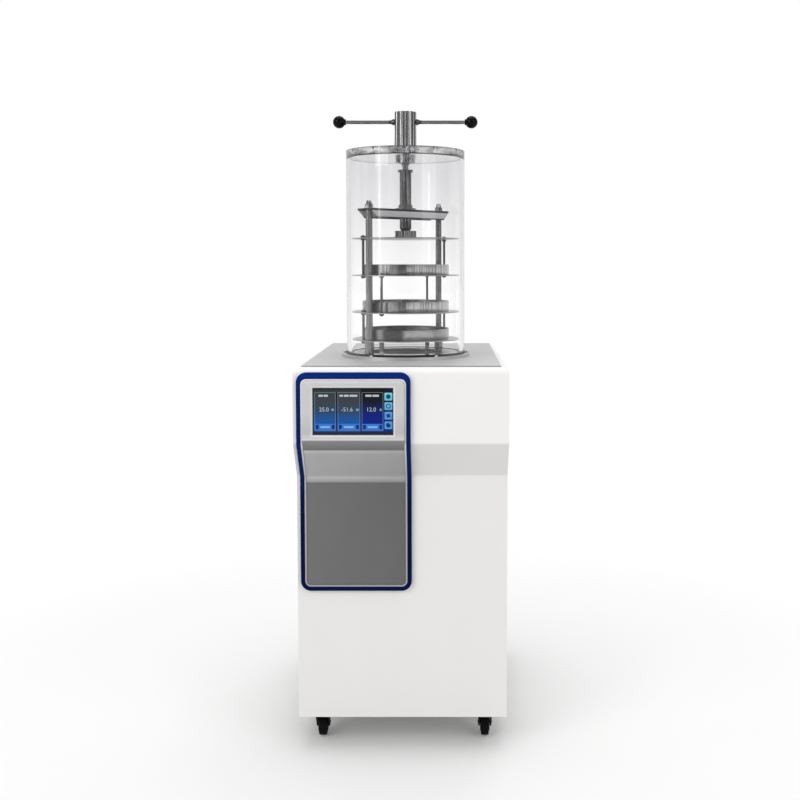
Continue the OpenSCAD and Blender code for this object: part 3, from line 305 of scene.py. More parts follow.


# tone by height on the front cover, with painted shade on its downward slope and painted light on the console above it,
# and by depth on the deck, with a painted shadow line at its folded front edge
coverShade = ((0.50, 0.955), (0.530, 0.955), (0.536, 0.865), (0.597, 0.865), (0.604, 1.03), (0.75, 1.03))
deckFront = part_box("top_deck")[0].y
deckShade = ((deckFront, 0.45), (deckFront + 3 * mm, 0.5), (deckFront + 6 * mm, 1.06), (0, 1.0), (0.28, 0.90))
finishes = {
    "whitePaint": {"colour": (0.865, 0.86, 0.857), "shade": 0.985, "roughness": 0.40, "spread": 0.05, "gloss": 0.4,
                   "grain": (1.6, 1.6, 1.6), "depth": 0.03},
    "coverPaintShaded": {"colour": (0.868, 0.860, 0.855), "shade": 0.985, "roughness": 0.40, "spread": 0.05, "gloss": 0.4,
                   "grain": (1.6, 1.6, 1.6), "depth": 0.03, "axis": "Z", "across": coverShade},
    "deckSteel": {"colour": (0.55, 0.553, 0.553), "metallic": 0.15, "roughness": 0.5, "spread": 0.08, "gloss": 0.3,
                  "grain": (60, 0.5, 4), "depth": 0.02, "streak": 0.08, "axis": "Y", "across": deckShade},
    "rackSteel": {"colour": (0.34, 0.34, 0.345), "metallic": 1, "roughness": 0.30, "spread": 0.08,
                  "grain": (3, 3, 0.6), "depth": 0.02, "streak": 0.15},
    "rodSteel": {"colour": (0.17, 0.17, 0.175), "metallic": 1, "roughness": 0.26,
                 "grain": (2, 2, 60), "depth": 0.02, "streak": 0.3},
    "postSteel": {"colour": (0.40, 0.40, 0.405), "metallic": 1, "roughness": 0.20,
                  "grain": (2.5, 2.5, 90), "depth": 0.03, "streak": 0.45},
    "footSteel": {"colour": (0.84, 0.84, 0.845), "metallic": 0.35, "roughness": 0.18,
                  "grain": (2.4, 2.4, 60), "depth": 0.04, "streak": 0.85, "band": 0.88, "bandSize": (4.5, 4.5, 90)},
    "trapSteel": {"colour": (0.86, 0.86, 0.86), "metallic": 0.5, "roughness": 0.30,
                  "grain": (40, 40, 0.6), "depth": 0.02, "streak": 0.08},
    "shelfSteel": {"colour": (0.48, 0.48, 0.49), "metallic": 1, "roughness": 0.30, "spread": 0.08,
                   "grain": (60, 0.6, 4), "depth": 0.02, "streak": 0.10},
    # the trays' across zones, upright dark and bright bands along X, are painted reflections
    "traySteel": {"colour": (0.81, 0.81, 0.815), "metallic": 1, "roughness": 0.22, "spread": 0.08,
                  "grain": (2.2, 2.2, 90), "depth": 0.05, "streak": 0.6,
                  "across": ((-0.09, 0.5), (-0.066, 0.5), (-0.060, 0.18), (-0.050, 0.22), (-0.046, 1.0), (-0.040, 0.6),
                             (-0.012, 0.75), (-0.009, 0.40), (0.003, 0.40), (0.006, 1.0), (0.09, 1.0))},
    "plainTray": {"colour": (0.60, 0.60, 0.605), "metallic": 1, "roughness": 0.26, "spread": 0.08,
                  "grain": (40, 40, 0.8), "depth": 0.02, "streak": 0.08,
                  "across": ((-0.09, 0.6), (-0.062, 0.9), (-0.046, 0.6), (-0.038, 0.10), (-0.006, 0.16), (0.004, 1.0),
                             (0.05, 0.9), (0.062, 0.6), (0.09, 0.8))},
    "turnedSteel": {"colour": (0.36, 0.36, 0.365), "metallic": 1, "roughness": 0.22, "spread": 0.08,
                    "grain": (40, 40, 0.4), "depth": 0.02, "streak": 0.3},
    "glandSteel": {"colour": (0.95, 0.95, 0.96), "metallic": 0.3, "roughness": 0.20,
                   "grain": (2.4, 2.4, 4.5), "depth": 0.03, "streak": 0.5, "band": 0.9, "bandSize": (5, 5, 16)},
    # the bar's across zones darken its middle, where it goes into the hub: painted shade
    "barSteel": {"colour": (0.27, 0.27, 0.275), "metallic": 1, "roughness": 0.20, "spread": 0.04,
                 "grain": (30, 0.8, 0.8), "depth": 0.01, "streak": 0.12,
                 "across": ((-0.14, 1), (-0.034, 1), (-0.032, 0.25), (0.032, 0.25), (0.034, 1), (0.14, 1))},
    "screwThread": {"colour": (0.46, 0.46, 0.465), "metallic": 1, "roughness": 0.24,
                    "grain": (2.8, 2.8, 120), "depth": 0.04, "streak": 0.9},
    "hubSteel": {"colour": (0.58, 0.58, 0.585), "metallic": 1, "roughness": 0.22, "spread": 0.08,
                 "grain": (1.0, 1.0, 60), "depth": 0.04, "streak": 0.6, "band": 0.6, "bandSize": (6, 6, 300)},
    "ringSteel": {"colour": (0.56, 0.56, 0.57), "metallic": 0.7, "roughness": 0.38,
                  "grain": (40, 40, 0.5), "depth": 0.02, "streak": 0.06},
    # the gasket's across zones make it lighter towards its left and right sides: painted light
    "gasketRubber": {"colour": (0.14, 0.14, 0.145), "shade": 0.8, "roughness": 0.6, "gloss": 0.3,
                     "grain": (4, 4, 0.6), "depth": 0.05,
                     "across": ((-0.125, 1.0), (-0.09, 0.9), (-0.05, 0.12), (0.06, 0.12), (0.09, 0.9), (0.125, 1.0))},
    "copperTube": {"colour": (0.72, 0.36, 0.20), "metallic": 1, "shade": 0.7, "roughness": 0.3,
                   "grain": (3, 3, 3), "depth": 0.03},
    "blackEnamel": {"colour": (0.02, 0.02, 0.022), "shade": 0.8, "roughness": 0.3,
                    "grain": (1.5, 1.5, 1.5), "depth": 0.04, "coat": 0.4},
    "finAluminium": {"colour": (0.72, 0.72, 0.72), "metallic": 1, "shade": 0.85, "roughness": 0.42,
                     "grain": (0.5, 8, 8), "depth": 0.02},
    "zincPlate": {"colour": (0.60, 0.60, 0.57), "metallic": 1, "shade": 0.75, "roughness": 0.40,
                  "cloud": (12, 12, 12), "grain": (1, 1, 1), "depth": 0.02},
    "blackPlastic": {"colour": (0.004, 0.004, 0.0045), "shade": 0.8, "roughness": 0.45, "gloss": 0.14,
                     "grain": (0.5, 0.5, 0.5), "depth": 0.05},
    "knobPlastic": {"colour": (0.003, 0.003, 0.003), "shade": 0.85, "roughness": 0.2, "gloss": 0.1,
                    "grain": (2, 2, 2), "depth": 0.01},
    "tyreRubber": {"colour": (0.004, 0.004, 0.0045), "shade": 0.75, "roughness": 0.6, "gloss": 0.1,
                   "grain": (0.8, 0.8, 0.8), "depth": 0.05},
    "redGrip": {"colour": (0.42, 0.02, 0.015), "shade": 0.85, "roughness": 0.4,
                "grain": (0.8, 0.8, 0.8), "depth": 0.04},
    "screenGlass": {"colour": (0.008, 0.009, 0.012), "shade": 0.9, "roughness": 0.14, "spread": 0.03, "gloss": 0.3,
                    "grain": (20, 20, 20), "depth": 0.004},
    "screwSteel": {"colour": (0.70, 0.70, 0.71), "metallic": 1, "roughness": 0.24,
                   "grain": (0.5, 0.5, 0.5), "depth": 0.01},
    # white on the window's real chamfer: a painted highlight
    "chamferHighlight": {"colour": (0.86, 0.86, 0.87), "roughness": 0.3,
                   "grain": (1, 1, 1), "depth": 0.01},
}
finish = {name: makeFinish(name, look) for name, look in finishes.items()}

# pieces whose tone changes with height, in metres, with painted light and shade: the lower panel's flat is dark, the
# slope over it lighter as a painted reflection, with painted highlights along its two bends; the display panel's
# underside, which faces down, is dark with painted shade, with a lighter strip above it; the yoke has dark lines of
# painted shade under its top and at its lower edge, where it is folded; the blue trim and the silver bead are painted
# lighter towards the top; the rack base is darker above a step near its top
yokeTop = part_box("yoke")[1].z
yokeZones = ((-19, 0.04), (-16.8, 0.06), (-15.8, 0.52), (-5.0, 0.60), (-4.2, 0.05), (-0.3, 0.02), (-0.1, 0.5))
zonedPieces = {
    "lowerGrey": {
        "stops": ((0.5185, 0.165), (0.5215, 0.36), (0.528, 0.50), (0.5315, 0.50), (0.535, 0.44), (0.580, 0.45),
                  (0.583, 0.52), (0.587, 0.55), (0.588, 0.55)),
        "roughness": 0.38, "fleck": 0.5 * mm, "across": 0.81},
    "displayGrey": {
        "stops": ((0.588, 0.18), (0.592, 0.19), (0.606, 0.27), (0.6085, 0.28), (0.6105, 0.68), (0.624, 0.52),
                  (0.66, 0.62), (0.72, 0.62)),
        "roughness": 0.42, "fleck": 0.7 * mm, "across": 0.97},
    "trimBlue": {
        "stops": ((0.30, 0.06), (0.36, 0.040), (0.48, 0.045), (0.58, 0.11), (0.70, 0.13), (0.73, 0.18)),
        "roughness": 0.34, "fleck": 1.2 * mm, "across": 0.92, "tint": (0.012, 0.13, 1.1), "gloss": 0.05},
    "silverBead": {
        "stops": ((0.30, 0.36), (0.36, 0.42), (0.52, 0.46), (0.59, 0.70), (0.66, 0.90), (0.73, 1.0)),
        "roughness": 0.25, "fleck": 1 * mm, "across": 0.98, "tint": (0.93, 0.94, 1.0), "gloss": 0.7},
    "baseSteel": {
        "stops": ((0.74, 0.64), (0.7575, 0.64), (0.7595, 0.22), (0.77, 0.20), (0.79, 0.24)),
        "roughness": 0.30, "fleck": 1.5 * mm, "across": 0.95, "metallic": 0.6},
    "yokeSteel": {
        "stops": [(yokeTop + z * mm, tone) for z, tone in yokeZones],
        "roughness": 0.34, "fleck": 0.7 * mm, "across": 1.25, "metallic": 0.7},
}


# painted shade: towards the right the tone is multiplied by the look's "across", along a line that wanders with the
# noise;
# where across is above 1, as on the yoke, it is painted light
sideFade = {"from": -0.14, "to": 0.05, "noise": (60 * mm, 60 * mm, 140 * mm), "wander": 0.10}
flecks = {"tone": (0.9, 0.9, 0.905), "rougher": 0.08, "depth": 0.03 * mm, "strength": 0.4}


def makeZoned(name, look):
    mat, tree, shader = newMaterial(name)
    coord, axes = coordinates(tree)
    tone = toneAlong(tree, axes["Z"], look["stops"], look.get("tint", (1, 1, 1.015)))
    grain = noiseAt(tree, coord, (look["fleck"],) * 3)
    fleck = ranged(tree, grain, 0, 1)
    tone = blended(tree, fleck, tone, flecks["tone"], "MULTIPLY")
    wander = noiseAt(tree, coord, sideFade["noise"], 1)
    wander = calc(tree, "MULTIPLY", wander, sideFade["wander"])
    across = calc(tree, "ADD", axes["X"], wander)
    across = ranged(tree, across, 0, 1, sideFade["from"], sideFade["to"])
    tone = blended(tree, across, tone, (look["across"],) * 3, "MULTIPLY")
    tree.links.new(tone, shader.inputs["Base Color"])
    rough = look["roughness"]
    tree.links.new(ranged(tree, grain, rough, rough + flecks["rougher"]), shader.inputs["Roughness"])
    shader.inputs["Specular IOR Level"].default_value = look.get("gloss", 0.35)
    shader.inputs["Metallic"].default_value = look.get("metallic", 0)
    addBump(tree, shader, grain, flecks["depth"], flecks["strength"])
    return mat


for name, look in zonedPieces.items():
    finish[name] = makeZoned(name, look)

# shadow and diffuse rays pass straight through the acrylic, so that what stands inside is lit. Its grey tint, in faint
# upright streaks, is a painted reflection, and comes in between the heights "from" and "to"
acrylicIor = 1.49
acrylicStreaks = {"size": (28 * mm, 28 * mm, 900 * mm), "edges": (0.38, 0.62), "smooth": 0.4}   # faint upright streaks
acrylics = {
    "jarAcrylic": {"clear": (0.933, 0.933, 0.940), "dull": (0.885, 0.885, 0.895), "roughness": 0.012,
                   "through": (0.97, 0.97, 0.975), "depth": (0.30, 0.30, 0.33), "density": 2.6,
                   "from": 0.90, "to": 1.12},
    "lidAcrylic": {"clear": (1, 1, 1), "dull": (0.98, 0.98, 0.985), "roughness": 0.03,
                   "through": (0.95, 0.95, 0.955), "depth": (0.30, 0.30, 0.33), "density": 0.3,
                   "from": 0.0, "to": 0.1},
}


def makeAcrylic(name, look):
    mat, tree, shader = newMaterial(name)
    shader.inputs["Transmission Weight"].default_value = 1
    shader.inputs["IOR"].default_value = acrylicIor
    coord, axes = coordinates(tree)
    streakNoise = noiseAt(tree, coord, acrylicStreaks["size"], 1)
    streak = ranged(tree, streakNoise, 0, 1, *acrylicStreaks["edges"])
    tint = blended(tree, streak, look["clear"], look["dull"])
    height = ranged(tree, axes["Z"], 0, 1, look["from"], look["to"])
    tree.links.new(blended(tree, height, (1, 1, 1), tint), shader.inputs["Base Color"])
    rough = look["roughness"]
    tree.links.new(ranged(tree, streakNoise, rough * acrylicStreaks["smooth"], rough), shader.inputs["Roughness"])
    path = tree.nodes.new("ShaderNodeLightPath").outputs
    passing = calc(tree, "MAXIMUM", path["Is Shadow Ray"], path["Is Diffuse Ray"])
    clear = tree.nodes.new("ShaderNodeBsdfTransparent")
    clear.inputs["Color"].default_value = (*look["through"], 1)
    output = tree.nodes["Material Output"]
    tree.links.new(mixShaders(tree, passing, shader.outputs[0], clear.outputs[0]), output.inputs["Surface"])
    body = tree.nodes.new("ShaderNodeVolumeAbsorption")
    body.inputs["Color"].default_value = (*look["depth"], 1)
    body.inputs["Density"].default_value = look["density"]
    tree.links.new(body.outputs[0], output.inputs["Volume"])
    return mat


# the lid's rim: its clouds, its darker two sides and the dark lines along its two corners are painted reflection and
# refraction of the surroundings
paintedLidRim = {"light": (0.92, 0.92, 0.93), "dark": (0.22, 0.22, 0.223), "patch": (21 * mm, 21 * mm, 9 * mm),
            "patchEdges": (0.34, 0.60), "depth": 0.1 * mm, "strength": 0.4,
            "line": (0.03, 0.03, 0.031), "topLine": (1.4 * mm, 0.8 * mm), "footLine": (1.6 * mm, 2.6 * mm),
            "side": (0.58, 0.58, 0.58), "sideFrom": 0.08, "sideTo": 0.115, "through": 0.85, "roughness": 0.06}


def makePaintedLidRim(name, look):
    mat, tree, shader = newMaterial(name)
    coord, axes = coordinates(tree)
    low, high = (corner.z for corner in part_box("jar_lid"))
    topLine = [high - drop for drop in look["topLine"]]
    footLine = [low + rise for rise in look["footLine"]]
    patch = noiseAt(tree, coord, look["patch"], 2)
    cloudy = ranged(tree, patch, 0, 1, *look["patchEdges"])
    tone = blended(tree, cloudy, look["light"], look["dark"])
    top = ranged(tree, axes["Z"], 0, 1, *topLine)
    foot = ranged(tree, axes["Z"], 1, 0, *footLine)
    tone = blended(tree, calc(tree, "MAXIMUM", top, foot), tone, look["line"])
    aside = calc(tree, "ABSOLUTE", axes["X"], 0)
    side = ranged(tree, aside, 0, 1, look["sideFrom"], look["sideTo"])
    tone = blended(tree, side, tone, look["side"], "MULTIPLY")
    tree.links.new(tone, shader.inputs["Base Color"])
    shader.inputs["Transmission Weight"].default_value = look["through"]
    shader.inputs["Roughness"].default_value = look["roughness"]
    shader.inputs["IOR"].default_value = acrylicIor
    addBump(tree, shader, patch, look["depth"], look["strength"])
    return mat


finish["paintedLidRim"] = makePaintedLidRim("paintedLidRim", paintedLidRim)
for name, look in acrylics.items():
    finish[name] = makeAcrylic(name, look)
print("finishes made:", len(finish))


def hookUp(piece, body, slot, *replaced):
    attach(piece, body)
    if replaced:
        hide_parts(*replaced)
    return piece


# finish of each carried-over node, and the radius of its edges in millimetres
dressing = {
    "base_pan": ("zincPlate", 0.3), "front_cover": ("coverPaintShaded", 0.5), "side_panel_left": ("whitePaint", 0.5),
    "side_panel_right": ("whitePaint", 0.5), "rear_panel": ("whitePaint", 0.4), "top_deck": ("deckSteel", 0.5),
    "chamber_ring": ("ringSteel", 0.6), "cold_trap": ("trapSteel", 0.4),
    "trap_coil": ("copperTube", 0), "compressor": ("blackEnamel", 0), "condenser_block": ("finAluminium", 0),
    "fan_motor": ("blackPlastic", 0), "fan_rotor": ("blackPlastic", 0), "display_panel": ("displayGrey", 0.7),
    "lower_panel": ("lowerGrey", 0.7), "panel_trim": ("trimBlue", 1.8), "panel_bead": ("silverBead", 0.9),
    "touch_screen": ("screenGlass", 0.3), "control_box": ("zincPlate", 0), "vacuum_port": ("ringSteel", 0.5),
    "drain_valve": ("ringSteel", 0.3), "drain_lever": ("redGrip", 0.5), "power_inlet": ("blackPlastic", 0.4),
    "power_switch": ("knobPlastic", 0.4), "rack_base": ("baseSteel", 0.4), "guide_posts": ("postSteel", 0.3),
    "post_nuts": ("glandSteel", 0.3), "yoke": ("yokeSteel", 0.5), "sample_tray_2": ("traySteel", 0),
    "sample_tray_3": ("traySteel", 0), "sample_tray_4": ("plainTray", 0), "thrust_foot": ("footSteel", 0.3),
    "spindle": ("screwThread", 0.3), "lid_gland": ("glandSteel", 0.3),
    "gland_nut": ("rackSteel", 0.2), "handle_hub": ("hubSteel", 0.4), "drive_rod": ("turnedSteel", 0.2),
    "handle_bar": ("barSteel", 0), "ball_knobs": ("knobPlastic", 0.4), "caster_plates": ("zincPlate", 0.4),
}
dressing.update({"shelf_%d" % i: ("shelfSteel", 0.3) for i in (1, 2, 3, 4)})
dressing.update({"hanger_rods_%d" % i: ("rodSteel", 0) for i in (1, 2, 3)})
for corner in ("fl", "fr", "bl", "br"):
    dressing["caster_fork_" + corner] = ("blackPlastic", 0.4)
    dressing["caster_wheel_" + corner] = ("tyreRubber", 0.3)


windowChamfer = 1.5 * mm
mergeReach = 0.002 * mm
flatAngle, sharpAngle, bevelAngle = 0.3, 30, 32   # degrees: merged below, shaded sharp above, rounded above


# the edge of the display panel's window, at the front, gets a chamfer of its own, coloured white as a painted highlight
def chamferWindow(bm):
    low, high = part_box("touch_screen")
    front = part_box("display_panel")[0].y
    around = []
    for edge in bm.edges:
        if all(abs(v.co.y - front) < 0.02 * mm and low.x < v.co.x < high.x and low.z < v.co.z < high.z
               for v in edge.verts):
            around.append(edge)
    bmesh.ops.bevel(bm, geom=around, offset=windowChamfer, segments=1, affect="EDGES", material=1)
    print("  window chamfered:", len(around), "edges")


# a merged copy of the node, with softly rounded edges
def dress(node, look, edge):
    bm = bmesh.new()
    bm.from_mesh(frame["nodes"][node].data)
    bmesh.ops.remove_doubles(bm, verts=bm.verts, dist=mergeReach)
    bmesh.ops.dissolve_limit(bm, angle_limit=math.radians(flatAngle), verts=bm.verts, edges=bm.edges)
    if node == "display_panel":
        chamferWindow(bm)
    mesh = bpy.data.meshes.new(node + "_finished")
    bm.to_mesh(mesh)
    bm.free()
    mesh.polygons.foreach_set("use_smooth", [True] * len(mesh.polygons))
    mesh.set_sharp_from_angle(angle=math.radians(sharpAngle))
    mesh.materials.append(finish[look])
    if node == "display_panel":
        mesh.materials.append(finish["chamferHighlight"])
    piece = bpy.data.objects.new(node + "_finished", mesh)
    scene.collection.objects.link(piece)
    if edge:
        bevel = piece.modifiers.new("edges", "BEVEL")
        bevel.width = edge * mm
        bevel.segments = 2
        bevel.limit_method = "ANGLE"
        bevel.angle_limit = math.radians(bevelAngle)
        bevel.harden_normals = True
    return hookUp(piece, bodyOf[node], slotOf[node], node)


pieces = {node: dress(node, look, edge) for node, (look, edge) in dressing.items()}
print("pieces dressed:", len(pieces))


# adds a node to a geometry tree; wires holds its inputs, as sockets to link or as values
def addNode(tree, kind, wires, **settings):
    node = tree.nodes.new(kind)
    for key, value in settings.items():
        setattr(node, key, value)
    for key, source in wires.items():
        if isinstance(source, bpy.types.NodeSocket):
            tree.links.new(source, node.inputs[key])
        else:
            node.inputs[key].default_value = source
    return node


def product(tree, first, second):
    return addNode(tree, "ShaderNodeMath", {0: first, 1: second}, operation="MULTIPLY").outputs[0]


def raised(tree, mesh, height):
    lift = addNode(tree, "ShaderNodeCombineXYZ", {"Z": height}).outputs[0]
    return addNode(tree, "GeometryNodeTransform", {"Geometry": mesh, "Translation": lift}).outputs[0]


def startTree(name, sizes):
    tree = bpy.data.node_groups.new(name, "GeometryNodeTree")
    for label, kind in sizes.items():
        tree.interface.new_socket(label, in_out="INPUT", socket_type="NodeSocket" + kind)
    tree.interface.new_socket("Result", in_out="OUTPUT", socket_type="NodeSocketGeometry")
    return tree, tree.nodes.new("NodeGroupInput").outputs


# places the mesh and gives it its finish; the faces that edge picks out get the second one
def endTree(tree, mesh, given, edge=None):
    placed = addNode(tree, "GeometryNodeTransform",
                     {"Geometry": mesh, "Rotation": given["Tilt"], "Translation": given["Centre"]})
    real = addNode(tree, "GeometryNodeRealizeInstances", {"Geometry": placed.outputs[0]})
    done = addNode(tree, "GeometryNodeSetMaterial", {"Geometry": real.outputs[0], "Material": given["Finish"]})
    if edge:
        done = addNode(tree, "GeometryNodeSetMaterial",
                       {"Geometry": done.outputs[0], "Selection": edge, "Material": given["Edge Finish"]})
    tree.links.new(done.outputs[0], tree.nodes.new("NodeGroupOutput").inputs[0])
    return tree


# a head is a straight wall, then a taper up to its smaller top; its shank starts just inside it
screwForm = {"wall": 0.75, "top": 0.82, "shankMiddle": -0.49, "sides": 32, "shankSides": 16}


# a ring or a grid of socket screws
def screwTree(name, ringed):
    sizes = {"Head Radius": "Float", "Head Height": "Float", "Socket Radius": "Float", "Socket Depth": "Float",
             "Shank Radius": "Float", "Shank Length": "Float", "Centre": "Vector", "Tilt": "Rotation",
             "Finish": "Material"}
    sizes.update({"Count": "Int", "Ring Radius": "Float"} if ringed else
                 {"Columns": "Int", "Rows": "Int", "Width": "Float", "Height": "Float"})
    tree, given = startTree(name, sizes)
    radius, height, length = given["Head Radius"], given["Head Height"], given["Shank Length"]
    wall, sides = screwForm["wall"], screwForm["sides"]
    body = addNode(tree, "GeometryNodeMeshCylinder",
                   {"Vertices": sides, "Radius": radius, "Depth": product(tree, height, wall)}).outputs["Mesh"]
    taper = addNode(tree, "GeometryNodeMeshCone",
                    {"Vertices": sides, "Radius Bottom": radius, "Depth": product(tree, height, 1 - wall),
                     "Radius Top": product(tree, radius, screwForm["top"])}).outputs["Mesh"]
    shank = addNode(tree, "GeometryNodeMeshCylinder",
                    {"Vertices": screwForm["shankSides"], "Radius": given["Shank Radius"],
                     "Depth": length}).outputs["Mesh"]
    whole = addNode(tree, "GeometryNodeMeshBoolean", {}, operation="UNION", solver="EXACT")
    for part, lift in ((body, product(tree, height, wall / 2)), (taper, product(tree, height, wall)),
                       (shank, product(tree, length, screwForm["shankMiddle"]))):
        tree.links.new(raised(tree, part, lift), whole.inputs["Mesh 2"])
    socket = addNode(tree, "GeometryNodeMeshCylinder",
                     {"Vertices": 6, "Radius": given["Socket Radius"],
                      "Depth": product(tree, given["Socket Depth"], 2)}).outputs["Mesh"]
    head = addNode(tree, "GeometryNodeMeshBoolean",
                   {"Mesh 1": whole.outputs[0], "Mesh 2": raised(tree, socket, height)},
                   operation="DIFFERENCE", solver="EXACT").outputs[0]
    if ringed:
        spots = addNode(tree, "GeometryNodeMeshCircle", {"Vertices": given["Count"], "Radius": given["Ring Radius"]})
    else:
        spots = addNode(tree, "GeometryNodeMeshGrid",
                        {"Size X": given["Width"], "Size Y": given["Height"], "Vertices X": given["Columns"],
                         "Vertices Y": given["Rows"]})
    spread = addNode(tree, "GeometryNodeInstanceOnPoints", {"Points": spots.outputs["Mesh"], "Instance": head})
    return endTree(tree, spread.outputs[0], given)


# an upright ring swept along a circle, with rounded corners; its outer face can have a finish of its own
def tubeTree(name):
    tree, given = startTree(name, {"Outer Radius": "Float", "Wall": "Float", "Height": "Float", "Rim Radius": "Float",
                                   "Sides": "Int", "Centre": "Vector", "Tilt": "Rotation", "Finish": "Material",
                                   "Edge Finish": "Material"})
    half = product(tree, given["Wall"], 0.5)
    middleRadius = addNode(tree, "ShaderNodeMath", {0: given["Outer Radius"], 1: half}, operation="SUBTRACT").outputs[0]
    circle = addNode(tree, "GeometryNodeCurvePrimitiveCircle",
                     {"Resolution": given["Sides"], "Radius": middleRadius}, mode="RADIUS").outputs["Curve"]
    section = addNode(tree, "GeometryNodeCurvePrimitiveQuadrilateral",
                      {"Width": given["Wall"], "Height": given["Height"]}, mode="RECTANGLE").outputs["Curve"]
    rounded = addNode(tree, "GeometryNodeFilletCurve", {"Curve": section, "Radius": given["Rim Radius"], "Count": 3},
                      mode="POLY").outputs["Curve"]
    swept = addNode(tree, "GeometryNodeCurveToMesh", {"Curve": circle, "Profile Curve": rounded}).outputs["Mesh"]
    place = addNode(tree, "GeometryNodeInputPosition", {}).outputs[0]
    offset = addNode(tree, "ShaderNodeVectorMath", {0: place, 1: given["Centre"]}, operation="SUBTRACT").outputs[0]
    split = addNode(tree, "ShaderNodeSeparateXYZ", {0: offset}).outputs
    flat = addNode(tree, "ShaderNodeCombineXYZ", {"X": split["X"], "Y": split["Y"]}).outputs[0]
    reach = addNode(tree, "ShaderNodeVectorMath", {0: flat}, operation="LENGTH").outputs["Value"]
    rim = addNode(tree, "ShaderNodeMath", {0: given["Outer Radius"], 1: given["Rim Radius"]}, operation="SUBTRACT")
    outside = addNode(tree, "FunctionNodeCompare", {"A": reach, "B": rim.outputs[0]}, operation="GREATER_THAN")
    return endTree(tree, raised(tree, swept, product(tree, given["Height"], 0.5)), given, outside.outputs[0])


# runs a tree on an empty mesh and keeps the result as a plain piece
def grow(name, tree, values, body, slot, *replaced, crease=sharpAngle):
    holder = bpy.data.objects.new(name + "_seed", bpy.data.meshes.new(name + "_seed"))
    scene.collection.objects.link(holder)
    modifier = holder.modifiers.new("grow", "NODES")
    modifier.node_group = tree
    for socket in tree.interface.items_tree:
        if socket.name in values:
            modifier[socket.identifier] = values[socket.name]
    mesh = bpy.data.meshes.new_from_object(holder.evaluated_get(bpy.context.evaluated_depsgraph_get()))
    mesh.name = name
    holder.modifiers.remove(modifier)
    bpy.data.objects.remove(holder)
    mesh.polygons.foreach_set("use_smooth", [True] * len(mesh.polygons))
    mesh.set_sharp_from_angle(angle=math.radians(crease))
    piece = bpy.data.objects.new(name, mesh)
    scene.collection.objects.link(piece)
    print("  grown", name, len(mesh.polygons), "faces")
    return hookUp(piece, body, slot, *replaced)


screwRing = screwTree("screwRing", True)
screwGrid = screwTree("screwGrid", False)
tube = tubeTree("tube")
upright = (0, 0, 0)
jarLow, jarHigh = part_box("bell_jar")
jarRadius = (jarHigh.x - jarLow.x) / 2
glandHole = 20.3 * mm                        # radius of the lid's hole for the gland


def onAxis(z):
    return (jarAxis.x, jarAxis.y, z)


def plain(name):
    return {"Finish": finish[name], "Edge Finish": finish[name]}


# round pieces with finer facets than the solids they replace; each one's height comes from its solid
tubes = {
    "bell_jar": {"Outer Radius": jarRadius, "Wall": 8 * mm, "Rim Radius": 0.8 * mm, **plain("jarAcrylic")},
    "jar_lid": {"Outer Radius": jarRadius, "Wall": jarRadius - glandHole, "Rim Radius": 0.8 * mm,
                "Finish": finish["lidAcrylic"], "Edge Finish": finish["paintedLidRim"]},
    "chamber_gasket": {"Outer Radius": 123 * mm, "Wall": 12 * mm, "Rim Radius": 1.3 * mm, **plain("gasketRubber")},
    "spindle_nut": {"Outer Radius": 14.5 * mm, "Wall": 2.3 * mm, "Rim Radius": 0.8 * mm, **plain("turnedSteel")},
}
for node, values in tubes.items():
    low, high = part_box(node)
    values.update({"Height": high.z - low.z, "Sides": 192, "Centre": onAxis(low.z), "Tilt": upright})
    grow(node + "_turned", tube, values, bodyOf[node], slotOf[node], node, crease=12)

# flange of the spindle nut, on the yoke
nutFlange = {
    "Outer Radius": 21 * mm, "Wall": 8.8 * mm, "Height": 3.2 * mm, "Rim Radius": 0.8 * mm, "Sides": 96,
    "Centre": onAxis(yokeTop), "Tilt": upright, **plain("turnedSteel"),
}
grow("spindle_nut_flange", tube, nutFlange, bodyOf["spindle_nut"], slotOf["spindle_nut"], "spindle_nut", crease=12)

# faceted crown of the gland, right under the lid
crownHeight = 8 * mm
glandCrown = {
    "Outer Radius": 20 * mm, "Wall": 7.4 * mm, "Height": crownHeight, "Rim Radius": 1 * mm, "Sides": 14,
    "Centre": onAxis(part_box("jar_lid")[0].z - crownHeight), "Tilt": upright, **plain("glandSteel"),
}
grow("gland_crown", tube, glandCrown, bodyOf["lid_gland"], slotOf["lid_gland"], "lid_gland", crease=12)

ringLow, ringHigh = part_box("ring_screws")
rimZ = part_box("chamber_ring")[1].z
ringHead = 3.6 * mm
ringScrews = {
    "Head Radius": ringHead, "Head Height": ringHigh.z - rimZ, "Socket Radius": 1.9 * mm, "Socket Depth": 1.8 * mm,
    "Shank Radius": 2 * mm, "Shank Length": 1 * mm, "Centre": onAxis(rimZ), "Tilt": upright,
    "Count": 6, "Ring Radius": (ringHigh.x - ringLow.x) / 2 - ringHead, "Finish": finish["screwSteel"],
}
grow("ring_screw_heads", screwRing, ringScrews, "cabinet", slotOf["ring_screws"], "ring_screws")

lidHead = 2.6 * mm                           # height of a lid screw's head, sunk into the lid
lidScrews = {
    "Head Radius": 3.2 * mm, "Head Height": lidHead, "Socket Radius": 1.5 * mm, "Socket Depth": 1.5 * mm,
    "Shank Radius": 1.8 * mm, "Shank Length": 4 * mm, "Centre": onAxis(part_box("jar_lid")[1].z - lidHead),
    "Tilt": upright, "Count": 12, "Ring Radius": jarRadius - 4 * mm, "Finish": finish["screwSteel"],
}
grow("lid_screw_heads", screwRing, lidScrews, bodyOf["jar_lid"], slotOf["ring_screws"])

